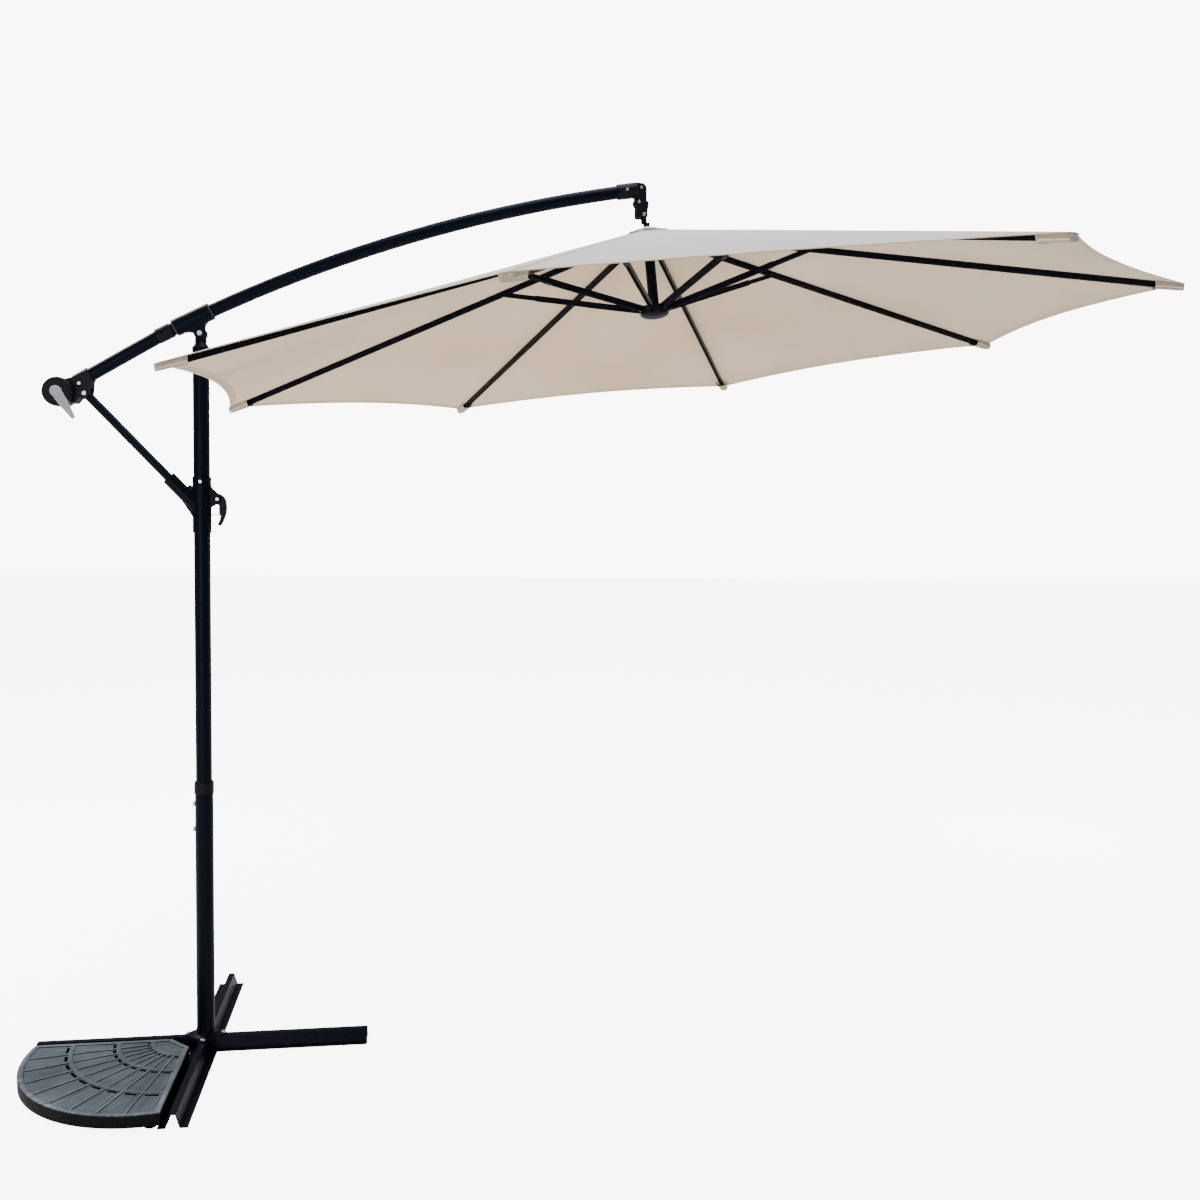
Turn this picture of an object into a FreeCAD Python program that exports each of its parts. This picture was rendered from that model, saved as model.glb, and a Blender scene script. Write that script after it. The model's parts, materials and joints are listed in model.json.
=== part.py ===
"""Cantilever patio umbrella with a cross base, one fan weight and an eight-rib canopy.

Millimetres, +Z up. The origin is on the floor on the pole's axis, +X points along the arm towards
the canopy, and the base legs lie along X and Y. Angles are in degrees.
"""

import FreeCAD, Part
import math
import os

V = FreeCAD.Vector
UP = V(0, 0, 1)
ACROSS = V(0, 1, 0)
RUNNING = 0.06  # radial clearance of a turning or sliding fit
TOUCH_FREE = 0.5  # gap between pieces that pass each other
SEAT = 0.01  # how far a flat screw head beds into a round wall

# ---- driving dimensions ----

# base legs: a hat section with a flange on each side
LEG_REACH = 500.0
HAT_HEIGHT = 40.0
HAT_TOP_WIDTH = 19.0
HAT_FOOT_WIDTH = 42.0
LEG_FLANGE = 20.0
LEG_SHEET = 2.5
LEG_JOINT_GAP = 1.0

# square plate on the crossing, turned so that its corners lie on the legs
PLATE_CORNER = 66.0
PLATE_THICK = 5.0
BOLT_CIRCLE_R = 54.0
BOLT_R = 4.0
BOLT_HEAD_R = 7.0
BOLT_HEAD = 5.0
BOLT_GRIP = 7.5
NUT_R = 6.5
NUT_THICK = 6.0
BLOCK_LENGTH = 160.0

# poles; the lower one is sized to take the upper one and the collar's wall
UPPER_POLE_R = 24.0
UPPER_POLE_WALL = 1.6
UPPER_POLE_INSERT = 186.0
PIVOT_ABOVE_POLE = 53.0
COLLAR_WALL = 1.45
LOWER_POLE_WALL = 1.8
LOWER_POLE_TOP = 826.0
NECK_FLARE = 13.0
COLLAR_LIP = 2.25
COLLAR_SKIRT = 14.0
COLLAR_ABOVE = 24.0
COLLAR_SPIGOT = 26.0
LOCK_DROPS = (127.0, 48.0)
LOCK_R = 4.0
LOCK_HEAD_R = 7.5
LOCK_HEAD = 6.5

# fan weight
WEIGHT_BESIDE_HAT = 11.0
WEIGHT_ARC_CENTER = 112.0
WEIGHT_ARC_R = 393.0
WEIGHT_CHAMFER = 62.0
WEIGHT_TOP = 46.0
WEIGHT_RIM_LOW = 10.0
WEIGHT_FOOT_R = 17.0
SKIRT_BACK = 1.0
WEIGHT_ROUND = 4.0
SKIRT_ENDS = 120.0
SKIRT_INSET = 20.0
FOOT_CLEAR = 3.0
FOOT_INSET = 10.0

# pole-top pivot
PIVOT_HEIGHT = 2218.0
PIVOT_R = 5.0
PIVOT_HEAD_R = 7.0
PIVOT_HEAD = 5.5
PIVOT_EYE_R = 18.0
EAR_GAP = 0.3
CAP_SHOULDER = 13.0
CAP_PLUG = 45.0
TONGUE_HALF = 9.0
EAR_THICK = 7.6
CAP_LIP = 1.5

# arm: a straight lower tube, then one long bend
ARM_R = 20.0
ARM_WALL = 1.6
ARM_BEND_R = 4647.0
SLEEVE_ANGLE = 27.6
SLEEVE_OFFSET = 47.5
SLEEVE_LENGTH = 116.0
SLEEVE_WALL = 2.0
SLEEVE_PLAY = 2.5
LINER_WALL = 1.5
LINER_DEPTH = 20.0
LINER_FLANGE = 2.5
JOINT_ANGLE = 28.75
JOINT_LENGTH = 46.0
JOINT_WALL = 2.8
JOINT_SCREW_BACK = 6.0
LOWER_ARM_ANGLE = 31.6
LOWER_ARM_LENGTH = 297.9
ELBOW_ANGLE = 10.0
ELBOW_SLEEVE_LENGTH = 56.0
ELBOW_SLEEVE_WALL = 4.0

# sliding bracket, strut and lever
STRUT_PIN_AHEAD = 71.0  # from the drum's centre
STRUT_PIN_DROP = 1.0
STRUT_SLOPE = 46.3
STRUT_R = 13.0
STRUT_WALL = 1.5
BRACKET_BELOW = 64.7  # from where the strut's line meets the pole's axis
BRACKET_ABOVE = 105.3
BRACKET_WALL = 3.4
SOCKET_R = 21.0
SOCKET_DEPTH = 70.0
PIN_R = 3.0
PIN_HEAD_R = 4.8
PIN_HEAD = 3.0
STRUT_PIN_R = 4.0
STRUT_PIN_HEAD_R = 5.8
RIVET_BELOW_TOP = 15.0
SOCKET_OUT = 72.0
LEVER_PIN_OUT = 23.0
LEVER_PIN_RISE = 38.3
LEVER_HALF = 8.0
LEVER_EAR = 5.0
LEVER_CAM_R = 17.0
EAR_SIDE_GAP = 0.4
# claw outline round its pin: back, rounded tip, inner edge with the finger bar, cam
CLAW = [
    (-6, 15), (8, 15), (18, 7), (24, -4), (26.5, -23), (24, -45), (17, -65), (10, -78), (5, -81),
    (1, -80), (0, -76), (5, -66), (8, -56), (8, -49), (-17.5, -48.5), (-17.5, -46), (5, -46),
    (4, -42), (4, -18), (-6, -15),
]
# lever ear outline round the same pin; the first and last points lie inside the sleeve's wall
EAR_TOP = 40.0
EAR_FOOT = 26.0
EAR_NOSE = [(9, 8), (10, -8), (0, -12)]

# crank housing
DRUM_BACK = 43.0  # from the lower end of the arm
DRUM_DROP = 31.0
DRUM_R = 41.0
DRUM_WALL = 4.0
MOUTH_WALL = 4.0
MOUTH_REACH = 49.3
ARM_SCREW_IN = 16.4
ARM_SCREW_DROP = 12.0
SHELL_STEP = 3.0
STRUT_LUG_R = 14.0
# neck between the drum, the arm's mouth and the strut lug, round the drum's centre
NECK = [
    (-8, 40), (16, 39.5), (39, 46), (59, 56), (72, 63), (79, 62), (90, 40), (86, 0), (74, -15),
    (56, -15), (44, -30), (30, -30), (0, 0),
]
SPOOL_R = 32.0
SPOOL_CORE_R = 20.0
SPINDLE_R = 7.0
CRANK_DISC_R = 43.0
CRANK_DISC = 24.0
CRANK_ROUND = 7.0
CRANK_REACH = 92.0
CRANK_ANGLE = -58.0
CRANK_ROOT = 15.0
CRANK_TIP = 6.0
CRANK_LEVER = 8.0
CRANK_HUB_R = 16.0
CRANK_HUB = 11.0

# elbow and hanger
TILT_PIN_AHEAD = 29.0  # from the arm's upper end
TILT_PIN_DROP = 76.3
TILT_PIN_R = 4.0
TILT_HEAD_R = 5.5
ELBOW_HALF = 15.0
ELBOW_SLOT_HALF = 8.0
ELBOW_RIGHT = 11.5
ELBOW_LEFT = 26.0
ELBOW_LOW = 10.5
ELBOW_WALL = 2.6
ELBOW_BOSS_R = 16.0
ELBOW_GROOVE = 1.2
ELBOW_SCREW_ACROSS = -10.0
ELBOW_SCREW_RISE = 82.0
TOOTH_COUNT = 4
TOOTH_PITCH = 5.5
TOOTH_THICK = 2.6
TOOTH_OUT = 6.0
TOOTH_LOW = 23.0
PULLEY_ACROSS = -17.0
PULLEY_RISE = 37.0
PULLEY_R = 11.0
PULLEY_HALF = 5.0
PULLEY_GROOVE = 4.0
HANGER_HALF = 7.0
HANGER_EYE_R = 10.5
HANGER_NECK_HALF = 8.0
HANGER_NECK = 27.0
HANGER_STEM_R = 10.0

# canopy, in its own frame: origin at the apex, +Z along the centre post
CANOPY_DROP = 42.0
CANOPY_OFFSET = 7.6
CANOPY_TILT = -6.6
RIB_COUNT = 8
RIB_SLOPE = 14.0
RIB_LENGTH = 1555.0
RIB_WIDTH = 12.0
RIB_HEIGHT = 18.0
RIB_WALL = 1.2
RIB_PIVOT_R = 32.0
RIB_PIVOT_DROP = 20.0
STRETCHER_REACH = 485.0
STRETCHER_HEIGHT = 18.0
STRETCHER_WALL = 1.2
FORK_THICK = 2.0
FORK_LENGTH = 118.0
FORK_BRIDGE = 20.0
FORK_HEIGHT = 14.0
EYE_PIN_R = 2.4
HUB_PIN_R = 2.0
TOP_HUB_R = 42.0
RUNNER_R = 46.0
HUB_HIGH = -14.0
HUB_LOW = -34.0
HUB_ROOF = 6.0
POST_R = 16.5
POST_WALL = 1.5
RUNNER_RISE = 12.0
RUNNER_SINK = 12.0
RUNNER_DOME = 17.0
SLOT_DEPTH = 10.5
FABRIC_THICK = 2.0
FABRIC_GAP = 0.05
FABRIC_OVERHANG = 6.0
FABRIC_HOLE_R = 24.0
HEM_SCALLOP = 50.0
SEAM_GAP = 0.6
CANOPY_CAP_R = 46.0
CANOPY_CAP = 5.0
CANOPY_CAP_DROP = 10.0

# ---- places worked out from the driving dimensions ----

LOWER_POLE_R = UPPER_POLE_R + COLLAR_WALL + LOWER_POLE_WALL
COLLAR_R = LOWER_POLE_R + COLLAR_LIP
UPPER_POLE_TOP = PIVOT_HEIGHT - PIVOT_ABOVE_POLE
LOCK_HEIGHTS = [LOWER_POLE_TOP - drop for drop in LOCK_DROPS]
CAP_SHOULDER_R = UPPER_POLE_R + CAP_LIP
LEG_HALF_WIDTH = HAT_FOOT_WIDTH / 2 + LEG_FLANGE
PLATE_TOP = HAT_HEIGHT + PLATE_THICK
WEIGHT_EDGE = HAT_FOOT_WIDTH / 2 + WEIGHT_BESIDE_HAT
WEIGHT_SKIRT = LEG_HALF_WIDTH - SKIRT_BACK - WEIGHT_EDGE
SLEEVE_R = ARM_R + SLEEVE_PLAY + LINER_WALL + SLEEVE_WALL
JOINT_R = ARM_R + JOINT_WALL
ELBOW_SLEEVE_R = ARM_R + ELBOW_SLEEVE_WALL
ELBOW_TOP = ELBOW_SLEEVE_R - 2
MOUTH_R = ARM_R + MOUTH_WALL
HOUSING_HALF = MOUTH_R + SHELL_STEP
SLEEVE_CENTER = V(
    -SLEEVE_OFFSET * math.sin(math.radians(SLEEVE_ANGLE)),
    0,
    PIVOT_HEIGHT + SLEEVE_OFFSET * math.cos(math.radians(SLEEVE_ANGLE)),
)
BEND_CENTER = V(
    SLEEVE_CENTER.x + ARM_BEND_R * math.sin(math.radians(SLEEVE_ANGLE)),
    0,
    SLEEVE_CENTER.z - ARM_BEND_R * math.cos(math.radians(SLEEVE_ANGLE)),
)
CANOPY_ROTATION = FreeCAD.Rotation(ACROSS, CANOPY_TILT)
HANGER_EYE = V(-CANOPY_OFFSET, 0, CANOPY_DROP)  # the tilt pin in the canopy's frame
RIB_STEP = 360.0 / RIB_COUNT
RUNNER_PIVOT_DROP = RIB_PIVOT_DROP + 2 * STRETCHER_REACH * math.sin(math.radians(RIB_SLOPE))


def rib_angle(number):
    """Azimuth of rib 1..8 about the canopy's axis; the arm's plane halves a panel."""
    return RIB_STEP * (number - 0.5)


def heading(angle):
    """Unit vector in the arm's plane, angle measured up from +X."""
    return V(math.cos(math.radians(angle)), 0, math.sin(math.radians(angle)))


def on_bend(angle):
    """Point of the arm's centre line where the tangent has this angle."""
    return BEND_CENTER + heading(angle + 90) * ARM_BEND_R


JOINT = on_bend(JOINT_ANGLE)
ARM_TOP = on_bend(ELBOW_ANGLE)
ARM_FOOT = JOINT - heading(LOWER_ARM_ANGLE) * LOWER_ARM_LENGTH
DRUM = ARM_FOOT - V(DRUM_BACK, 0, DRUM_DROP)
STRUT_PIN = DRUM + V(STRUT_PIN_AHEAD, 0, -STRUT_PIN_DROP)
STRUT_AXIS = heading(-STRUT_SLOPE)
BRACKET_MIDDLE = STRUT_PIN.z - STRUT_PIN.x / STRUT_AXIS.x * STRUT_AXIS.z
BRACKET_LOW = BRACKET_MIDDLE - BRACKET_BELOW
BRACKET_HIGH = BRACKET_MIDDLE + BRACKET_ABOVE
LEVER_PIN = V(UPPER_POLE_R + LEVER_PIN_OUT, 0, BRACKET_MIDDLE + LEVER_PIN_RISE)
TILT_PIN = ARM_TOP + V(TILT_PIN_AHEAD, 0, -TILT_PIN_DROP)
APEX = TILT_PIN - CANOPY_ROTATION.multVec(HANGER_EYE)
PULLEY = TILT_PIN + V(PULLEY_ACROSS, 0, PULLEY_RISE)
ELBOW_SCREW = TILT_PIN + V(ELBOW_SCREW_ACROSS, 0, ELBOW_SCREW_RISE)
CANOPY_FRAME = FreeCAD.Placement(APEX, CANOPY_ROTATION)


# ---- shape helpers ----


def rod(start, direction, length, radius):
    return Part.makeCylinder(radius, length, start, direction)


def pipe(start, direction, length, radius, bore):
    outer = rod(start, direction, length, radius)
    return outer.cut(rod(start - direction * 1, direction, length + 2, bore))


def cross_rod(x, z, half, radius):
    """Cylinder along Y, centred on the arm's plane."""
    return rod(V(x, -half, z), ACROSS, 2 * half, radius)


def slab(points, y_low, y_high):
    """Prism of an X-Z outline between two Y values."""
    wire = Part.makePolygon([V(x, y_low, z) for x, z in points + points[:1]])
    return Part.Face(wire).extrude(V(0, y_high - y_low, 0))


def block(x_low, x_high, y_half, z_low, z_high):
    return Part.makeBox(
        x_high - x_low, 2 * y_half, z_high - z_low, V(x_low, -y_half, z_low)
    )


def lathe(points):
    """Solid of revolution about Z of an R-Z outline."""
    wire = Part.makePolygon([V(r, 0, z) for r, z in points + points[:1]])
    return Part.Face(wire).revolve(V(0, 0, 0), UP, 360)


def bent_rod(from_angle, to_angle, radius):
    """Round bar along the arm's bend between two tangent angles."""
    circle = Part.makeCircle(radius, on_bend(from_angle), heading(from_angle))
    return Part.Face(Part.Wire(circle)).revolve(BEND_CENTER, ACROSS, from_angle - to_angle)


def bend_angle(length):
    """Angle that the arm's bend turns through over a length."""
    return math.degrees(length / ARM_BEND_R)


def tilted(shape, center, angle):
    """The shape turned in the arm's plane by an upward angle."""
    turned = shape.copy()
    turned.rotate(center, ACROSS, -angle)
    return turned


def joined(shapes):
    whole = shapes[0].fuse(shapes[1:]) if len(shapes) > 1 else shapes[0]
    return whole.removeSplitter()


def to_canopy(shape, azimuth=0.0):
    """Turns a shape drawn along +X to a rib's azimuth and puts it in the canopy's frame."""
    placed = shape.copy()
    placed.rotate(V(0, 0, 0), UP, azimuth)
    placed.Placement = CANOPY_FRAME.multiply(placed.Placement)
    return placed


def largest(shape):
    return max(shape.Solids, key=lambda solid: solid.Volume)


def shifted(outline, x, z):
    """The X-Z outline moved to a new origin."""
    return [(x + across, z + rise) for across, rise in outline]


def save(name, shape):
    shape.exportStep("parts/" + name + ".step")
    print(name, "valid" if shape.isValid() else "NOT VALID", len(shape.Solids), "solids")


# ---- base ----


def hat_leg(inner, outer):
    """Hat-section leg along +X with a flange on each side."""
    wall_lean = (HAT_FOOT_WIDTH - HAT_TOP_WIDTH) / 2 / HAT_HEIGHT
    foot = HAT_FOOT_WIDTH / 2
    top = HAT_TOP_WIDTH / 2
    inside = foot - LEG_SHEET * 1.1
    roof = HAT_HEIGHT - LEG_SHEET
    half = [
        (inside, 0),
        (LEG_HALF_WIDTH, 0),
        (LEG_HALF_WIDTH, LEG_SHEET),
        (foot - wall_lean * LEG_SHEET, LEG_SHEET),
        (top, HAT_HEIGHT),
    ]
    inner_half = [(inside - wall_lean * roof, roof)]
    mirrored = [(-y, z) for y, z in reversed(half)]
    roof_line = [(-y, z) for y, z in inner_half]
    outline = half + mirrored + roof_line + inner_half
    wire = Part.makePolygon([V(inner, y, z) for y, z in outline + outline[:1]])
    return Part.Face(wire).extrude(V(outer - inner, 0, 0))


def cross_screw(x, z, half, shank_r=PIN_R, head_r=PIN_HEAD_R, head=PIN_HEAD):
    """Screw across the arm's plane with a round head on each side."""
    pieces = [cross_rod(x, z, half, shank_r)]
    for side in (-1, 1):
        pieces.append(rod(V(x, side * half, z), ACROSS * side, head, head_r))
    return joined(pieces)


def screw_head(spot, wall_r):
    """Round head bedded on the near side of a tube of this radius."""
    return rod(spot - ACROSS * (wall_r - SEAT), ACROSS * -1, PIN_HEAD, PIN_HEAD_R)


def bolt_places():
    spots = []
    for quarter in range(4):
        turn = math.radians(90 * quarter)
        spots.append(V(BOLT_CIRCLE_R * math.cos(turn), BOLT_CIRCLE_R * math.sin(turn), 0))
    return spots


def drill_bolts(shape):
    for spot in bolt_places():
        low = spot + UP * (HAT_HEIGHT - LEG_SHEET - 1)
        shape = shape.cut(rod(low, UP, PLATE_THICK + LEG_SHEET + 2, BOLT_R + RUNNING))
    return shape


def make_legs():
    long_leg = drill_bolts(hat_leg(-LEG_REACH, LEG_REACH))
    save("long_leg", long_leg)
    for name, turn in (("back_leg", 90), ("front_leg", -90)):
        leg = hat_leg(LEG_HALF_WIDTH + LEG_JOINT_GAP, LEG_REACH)
        leg.rotate(V(0, 0, 0), UP, turn)
        save(name, drill_bolts(leg))


def make_center_block():
    """Block inside the long leg under the plate; its underside is on the floor."""
    clear = LEG_SHEET * 1.1 + TOUCH_FREE
    wall_lean = (HAT_FOOT_WIDTH - HAT_TOP_WIDTH) / 2 / HAT_HEIGHT
    foot = HAT_FOOT_WIDTH / 2 - clear
    height = HAT_HEIGHT - LEG_SHEET
    top = foot - wall_lean * height
    outline = [(foot, 0), (top, height), (-top, height), (-foot, 0)]
    wire = Part.makePolygon([V(-BLOCK_LENGTH / 2, y, z) for y, z in outline + outline[:1]])
    body = Part.Face(wire).extrude(V(BLOCK_LENGTH, 0, 0))
    pocket_low = height - NUT_THICK - BOLT_HEAD
    for side in (-1, 1):
        spot = V(side * BOLT_CIRCLE_R, 0, pocket_low)
        pocket = Part.makeBox(
            2 * NUT_R + 3, 80, height, V(spot.x - NUT_R - 1.5, -40, spot.z)
        )
        body = body.cut(pocket)
    save("center_block", body)


def make_flange_plate():
    """Square plate with the flared neck that holds the lower pole."""
    corners = [
        V(PLATE_CORNER, 0, 0),
        V(0, PLATE_CORNER, 0),
        V(-PLATE_CORNER, 0, 0),
        V(0, -PLATE_CORNER, 0),
    ]
    wire = Part.makePolygon([c + UP * HAT_HEIGHT for c in corners + corners[:1]])
    plate = Part.Face(wire).extrude(UP * PLATE_THICK)
    upright = [e for e in plate.Edges if abs(e.tangentAt(e.FirstParameter).z) > 0.9]
    plate = plate.makeFillet(6.0, upright)
    flare_steps = [(NECK_FLARE * (1 - math.sin(a)), NECK_FLARE * (1 - math.cos(a)))
                   for a in [math.radians(15 * n) for n in range(1, 6)]]
    profile = [(LOWER_POLE_R, PLATE_TOP), (LOWER_POLE_R + NECK_FLARE, PLATE_TOP)]
    profile += [(LOWER_POLE_R + out, PLATE_TOP + rise) for out, rise in flare_steps]
    profile += [(LOWER_POLE_R + 1.2, PLATE_TOP + NECK_FLARE + 6)]
    profile += [(LOWER_POLE_R, PLATE_TOP + NECK_FLARE + 6)]
    save("flange_plate", drill_bolts(joined([plate, lathe(profile)])))


def make_base_bolts():
    bolts = []
    for spot in bolt_places():
        shank = rod(spot + UP * (PLATE_TOP - BOLT_GRIP - NUT_THICK), UP, BOLT_GRIP + NUT_THICK, BOLT_R)
        head = rod(spot + UP * PLATE_TOP, UP, BOLT_HEAD, BOLT_HEAD_R)
        head = head.makeFillet(1.8, [head.Edges[0]])
        nut = rod(spot + UP * (PLATE_TOP - BOLT_GRIP - NUT_THICK), UP, NUT_THICK, NUT_R)
        bolts.append(joined([shank, head, nut]))
    save("base_bolts", Part.makeCompound(bolts))


def make_lower_pole():
    bore = LOWER_POLE_R - LOWER_POLE_WALL
    tube = pipe(V(0, 0, PLATE_TOP), UP, LOWER_POLE_TOP - PLATE_TOP, LOWER_POLE_R, bore)
    for height in LOCK_HEIGHTS:
        tube = tube.cut(rod(V(-40, 0, height), V(1, 0, 0), 40, LOCK_R))
    save("lower_pole", tube)


def make_pole_collar():
    """Plastic collar on the lower pole's top that guides the upper pole."""
    guide = UPPER_POLE_R + RUNNING
    spigot = LOWER_POLE_R - LOWER_POLE_WALL
    top = LOWER_POLE_TOP + COLLAR_ABOVE
    profile = [
        (guide, LOWER_POLE_TOP - COLLAR_SPIGOT),
        (spigot, LOWER_POLE_TOP - COLLAR_SPIGOT),
        (spigot, LOWER_POLE_TOP),
        (LOWER_POLE_R, LOWER_POLE_TOP),
        (LOWER_POLE_R, LOWER_POLE_TOP - COLLAR_SKIRT),
        (COLLAR_R, LOWER_POLE_TOP - COLLAR_SKIRT),
        (COLLAR_R, top - 8),
        (COLLAR_R - 1, top - 4),
        (COLLAR_R - 3.2, top),
        (guide, top),
    ]
    save("pole_collar", lathe(profile))


def make_lock_screws():
    """Two screws that clamp the upper pole against turning."""
    screws = []
    tip = UPPER_POLE_R + TOUCH_FREE
    for height in LOCK_HEIGHTS:
        shank = rod(V(-LOWER_POLE_R - 1, 0, height), V(1, 0, 0), LOWER_POLE_R + 1 - tip, LOCK_R)
        head_start = V(-LOWER_POLE_R - LOCK_HEAD, 0, height)
        head = rod(head_start, V(1, 0, 0), LOCK_HEAD - 0.2, LOCK_HEAD_R)
        screws.append(joined([shank, head]))
    save("lock_screws", Part.makeCompound(screws))


def weight_outline():
    """Fan outline in the -X -Y quarter: two straight edges, a corner cut and one arc."""
    low = -WEIGHT_EDGE
    radius = WEIGHT_ARC_R
    center = V(-WEIGHT_ARC_CENTER, -WEIGHT_ARC_CENTER, 0)
    reach = math.sqrt(radius**2 - (WEIGHT_ARC_CENTER + low) ** 2)
    far = -WEIGHT_ARC_CENTER - reach
    cut = low - WEIGHT_CHAMFER
    middle = center + V(-1, -1, 0) * (radius / math.sqrt(2))
    lines = [
        Part.makeLine(V(far, low, 0), V(cut, low, 0)),
        Part.makeLine(V(cut, low, 0), V(low, cut, 0)),
        Part.makeLine(V(low, cut, 0), V(low, far, 0)),
    ]
    arc = Part.Arc(V(low, far, 0), middle, V(far, low, 0)).toShape()
    return Part.Face(Part.Wire(lines + [arc])), far, low


def make_weight():
    """Resin slab whose skirt rests on the leg flanges and whose feet stand on the floor."""
    face, far, low = weight_outline()
    slab_height = WEIGHT_TOP - WEIGHT_RIM_LOW
    body = face.extrude(UP * slab_height)
    body.translate(UP * WEIGHT_RIM_LOW)
    top_edges = [e for e in body.Edges if e.BoundBox.ZMin > WEIGHT_TOP - SEAT]
    body = body.makeFillet(WEIGHT_ROUND, top_edges)
    rise = WEIGHT_RIM_LOW - LEG_SHEET
    length = -far - SKIRT_ENDS
    corner = V(far + SKIRT_INSET, low - WEIGHT_SKIRT, LEG_SHEET)
    strip_x = Part.makeBox(length, WEIGHT_SKIRT, rise, corner)
    corner = V(low - WEIGHT_SKIRT, far + SKIRT_INSET, LEG_SHEET)
    strip_y = Part.makeBox(WEIGHT_SKIRT, length, rise, corner)
    foot_in = LEG_HALF_WIDTH + WEIGHT_FOOT_R + FOOT_CLEAR
    out = -far - WEIGHT_FOOT_R - FOOT_INSET
    diagonal = WEIGHT_ARC_CENTER + (WEIGHT_ARC_R - 2 * WEIGHT_FOOT_R) / math.sqrt(2)
    corner_in = foot_in + WEIGHT_CHAMFER * 0.7
    spots = [(foot_in, out), (out, foot_in), (diagonal, diagonal), (corner_in, corner_in)]
    feet = [rod(V(-x, -y, 0), UP, WEIGHT_RIM_LOW, WEIGHT_FOOT_R) for x, y in spots]
    save("weight_plate", joined([body, strip_x, strip_y] + feet))


# ---- mast ----


def make_upper_pole():
    low = LOWER_POLE_TOP - UPPER_POLE_INSERT
    tube = pipe(V(0, 0, low), UP, UPPER_POLE_TOP - low, UPPER_POLE_R, UPPER_POLE_R - UPPER_POLE_WALL)
    save("upper_pole", tube)


def make_pole_cap():
    """Plug in the pole's top with the tongue that carries the arm's pivot."""
    bore = UPPER_POLE_R - UPPER_POLE_WALL
    shoulder = UPPER_POLE_TOP + CAP_SHOULDER
    plug = rod(V(0, 0, UPPER_POLE_TOP - CAP_PLUG), UP, CAP_PLUG, bore)
    ring = rod(V(0, 0, UPPER_POLE_TOP), UP, CAP_SHOULDER, CAP_SHOULDER_R)
    cone_top = PIVOT_HEIGHT - PIVOT_EYE_R - 4
    cone = Part.makeCone(CAP_SHOULDER_R - 1.5, 13, cone_top - shoulder, V(0, 0, shoulder), UP)
    tongue_half_width = PIVOT_EYE_R - 2.5
    stem = block(-tongue_half_width, tongue_half_width, TONGUE_HALF, shoulder - 2, PIVOT_HEIGHT)
    eye = cross_rod(0, PIVOT_HEIGHT, TONGUE_HALF, tongue_half_width)
    cap = joined([plug, ring, cone, stem, eye])
    save("pole_cap", cap.cut(cross_rod(0, PIVOT_HEIGHT, 40, PIVOT_R)))


def make_pivot_bolt():
    half = TONGUE_HALF + EAR_GAP + EAR_THICK + TOUCH_FREE
    save("pivot_bolt", cross_screw(0, PIVOT_HEIGHT, half, PIVOT_R, PIVOT_HEAD_R, PIVOT_HEAD))


# ---- arm sleeve ----


def make_arm_sleeve():
    """Tube that the arm slides through, with two ears on the pole-top pivot."""
    axis = heading(SLEEVE_ANGLE)
    start = SLEEVE_CENTER - axis * (SLEEVE_LENGTH / 2)
    shell = rod(start, axis, SLEEVE_LENGTH, SLEEVE_R)
    bore = rod(start - axis * 50, axis, SLEEVE_LENGTH + 100, SLEEVE_R - SLEEVE_WALL)
    eye = PIVOT_EYE_R
    inner = TONGUE_HALF + EAR_GAP
    rise = SLEEVE_OFFSET - SLEEVE_R
    profile = [
        (-eye + 0.5, 4), (-eye, rise * 0.5), (-eye - 6, rise * 0.85), (-2 * eye, rise + 3),
        (-2 * eye, rise + 10), (2 * eye, rise + 10), (2 * eye, rise + 3),
        (eye + 6, rise * 0.85), (eye, rise * 0.5), (eye - 0.5, 4), (0, -3),
    ]
    outline = [(x, PIVOT_HEIGHT + z) for x, z in profile]
    pieces = [shell]
    for low, high in ((inner, inner + EAR_THICK), (-inner - EAR_THICK, -inner)):
        web = slab(outline, low, high)
        round_end = rod(V(0, low, PIVOT_HEIGHT), ACROSS, high - low, eye)
        pieces.append(tilted(joined([web, round_end]), V(0, 0, PIVOT_HEIGHT), SLEEVE_ANGLE))
    saddle = block(-2 * eye, 2 * eye, inner + 1, PIVOT_HEIGHT + rise - 1, PIVOT_HEIGHT + rise + 10)
    pieces.append(tilted(saddle, V(0, 0, PIVOT_HEIGHT), SLEEVE_ANGLE))
    sleeve = joined(pieces).cut(bore)
    save("arm_sleeve", sleeve.cut(cross_rod(0, PIVOT_HEIGHT, 40, PIVOT_R + RUNNING)))


def make_sleeve_liners():
    """Plastic liner at each end of the sleeve."""
    axis = heading(SLEEVE_ANGLE)
    liners = []
    for side in (-1, 1):
        out = axis * side
        end = SLEEVE_CENTER + out * (SLEEVE_LENGTH / 2)
        lining = rod(end - out * LINER_DEPTH, out, LINER_DEPTH, SLEEVE_R - SLEEVE_WALL)
        flange = rod(end, out, LINER_FLANGE, SLEEVE_R - 0.3)
        hole = rod(end - out * 60, out, 120, ARM_R + SLEEVE_PLAY)
        liners.append(joined([lining, flange]).cut(hole))
    save("sleeve_liners", Part.makeCompound(liners))


# ---- arm ----


def arm_screw():
    """Place of the screw that holds the arm's end in the housing."""
    return ARM_FOOT + heading(LOWER_ARM_ANGLE) * ARM_SCREW_IN - UP * ARM_SCREW_DROP


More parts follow.
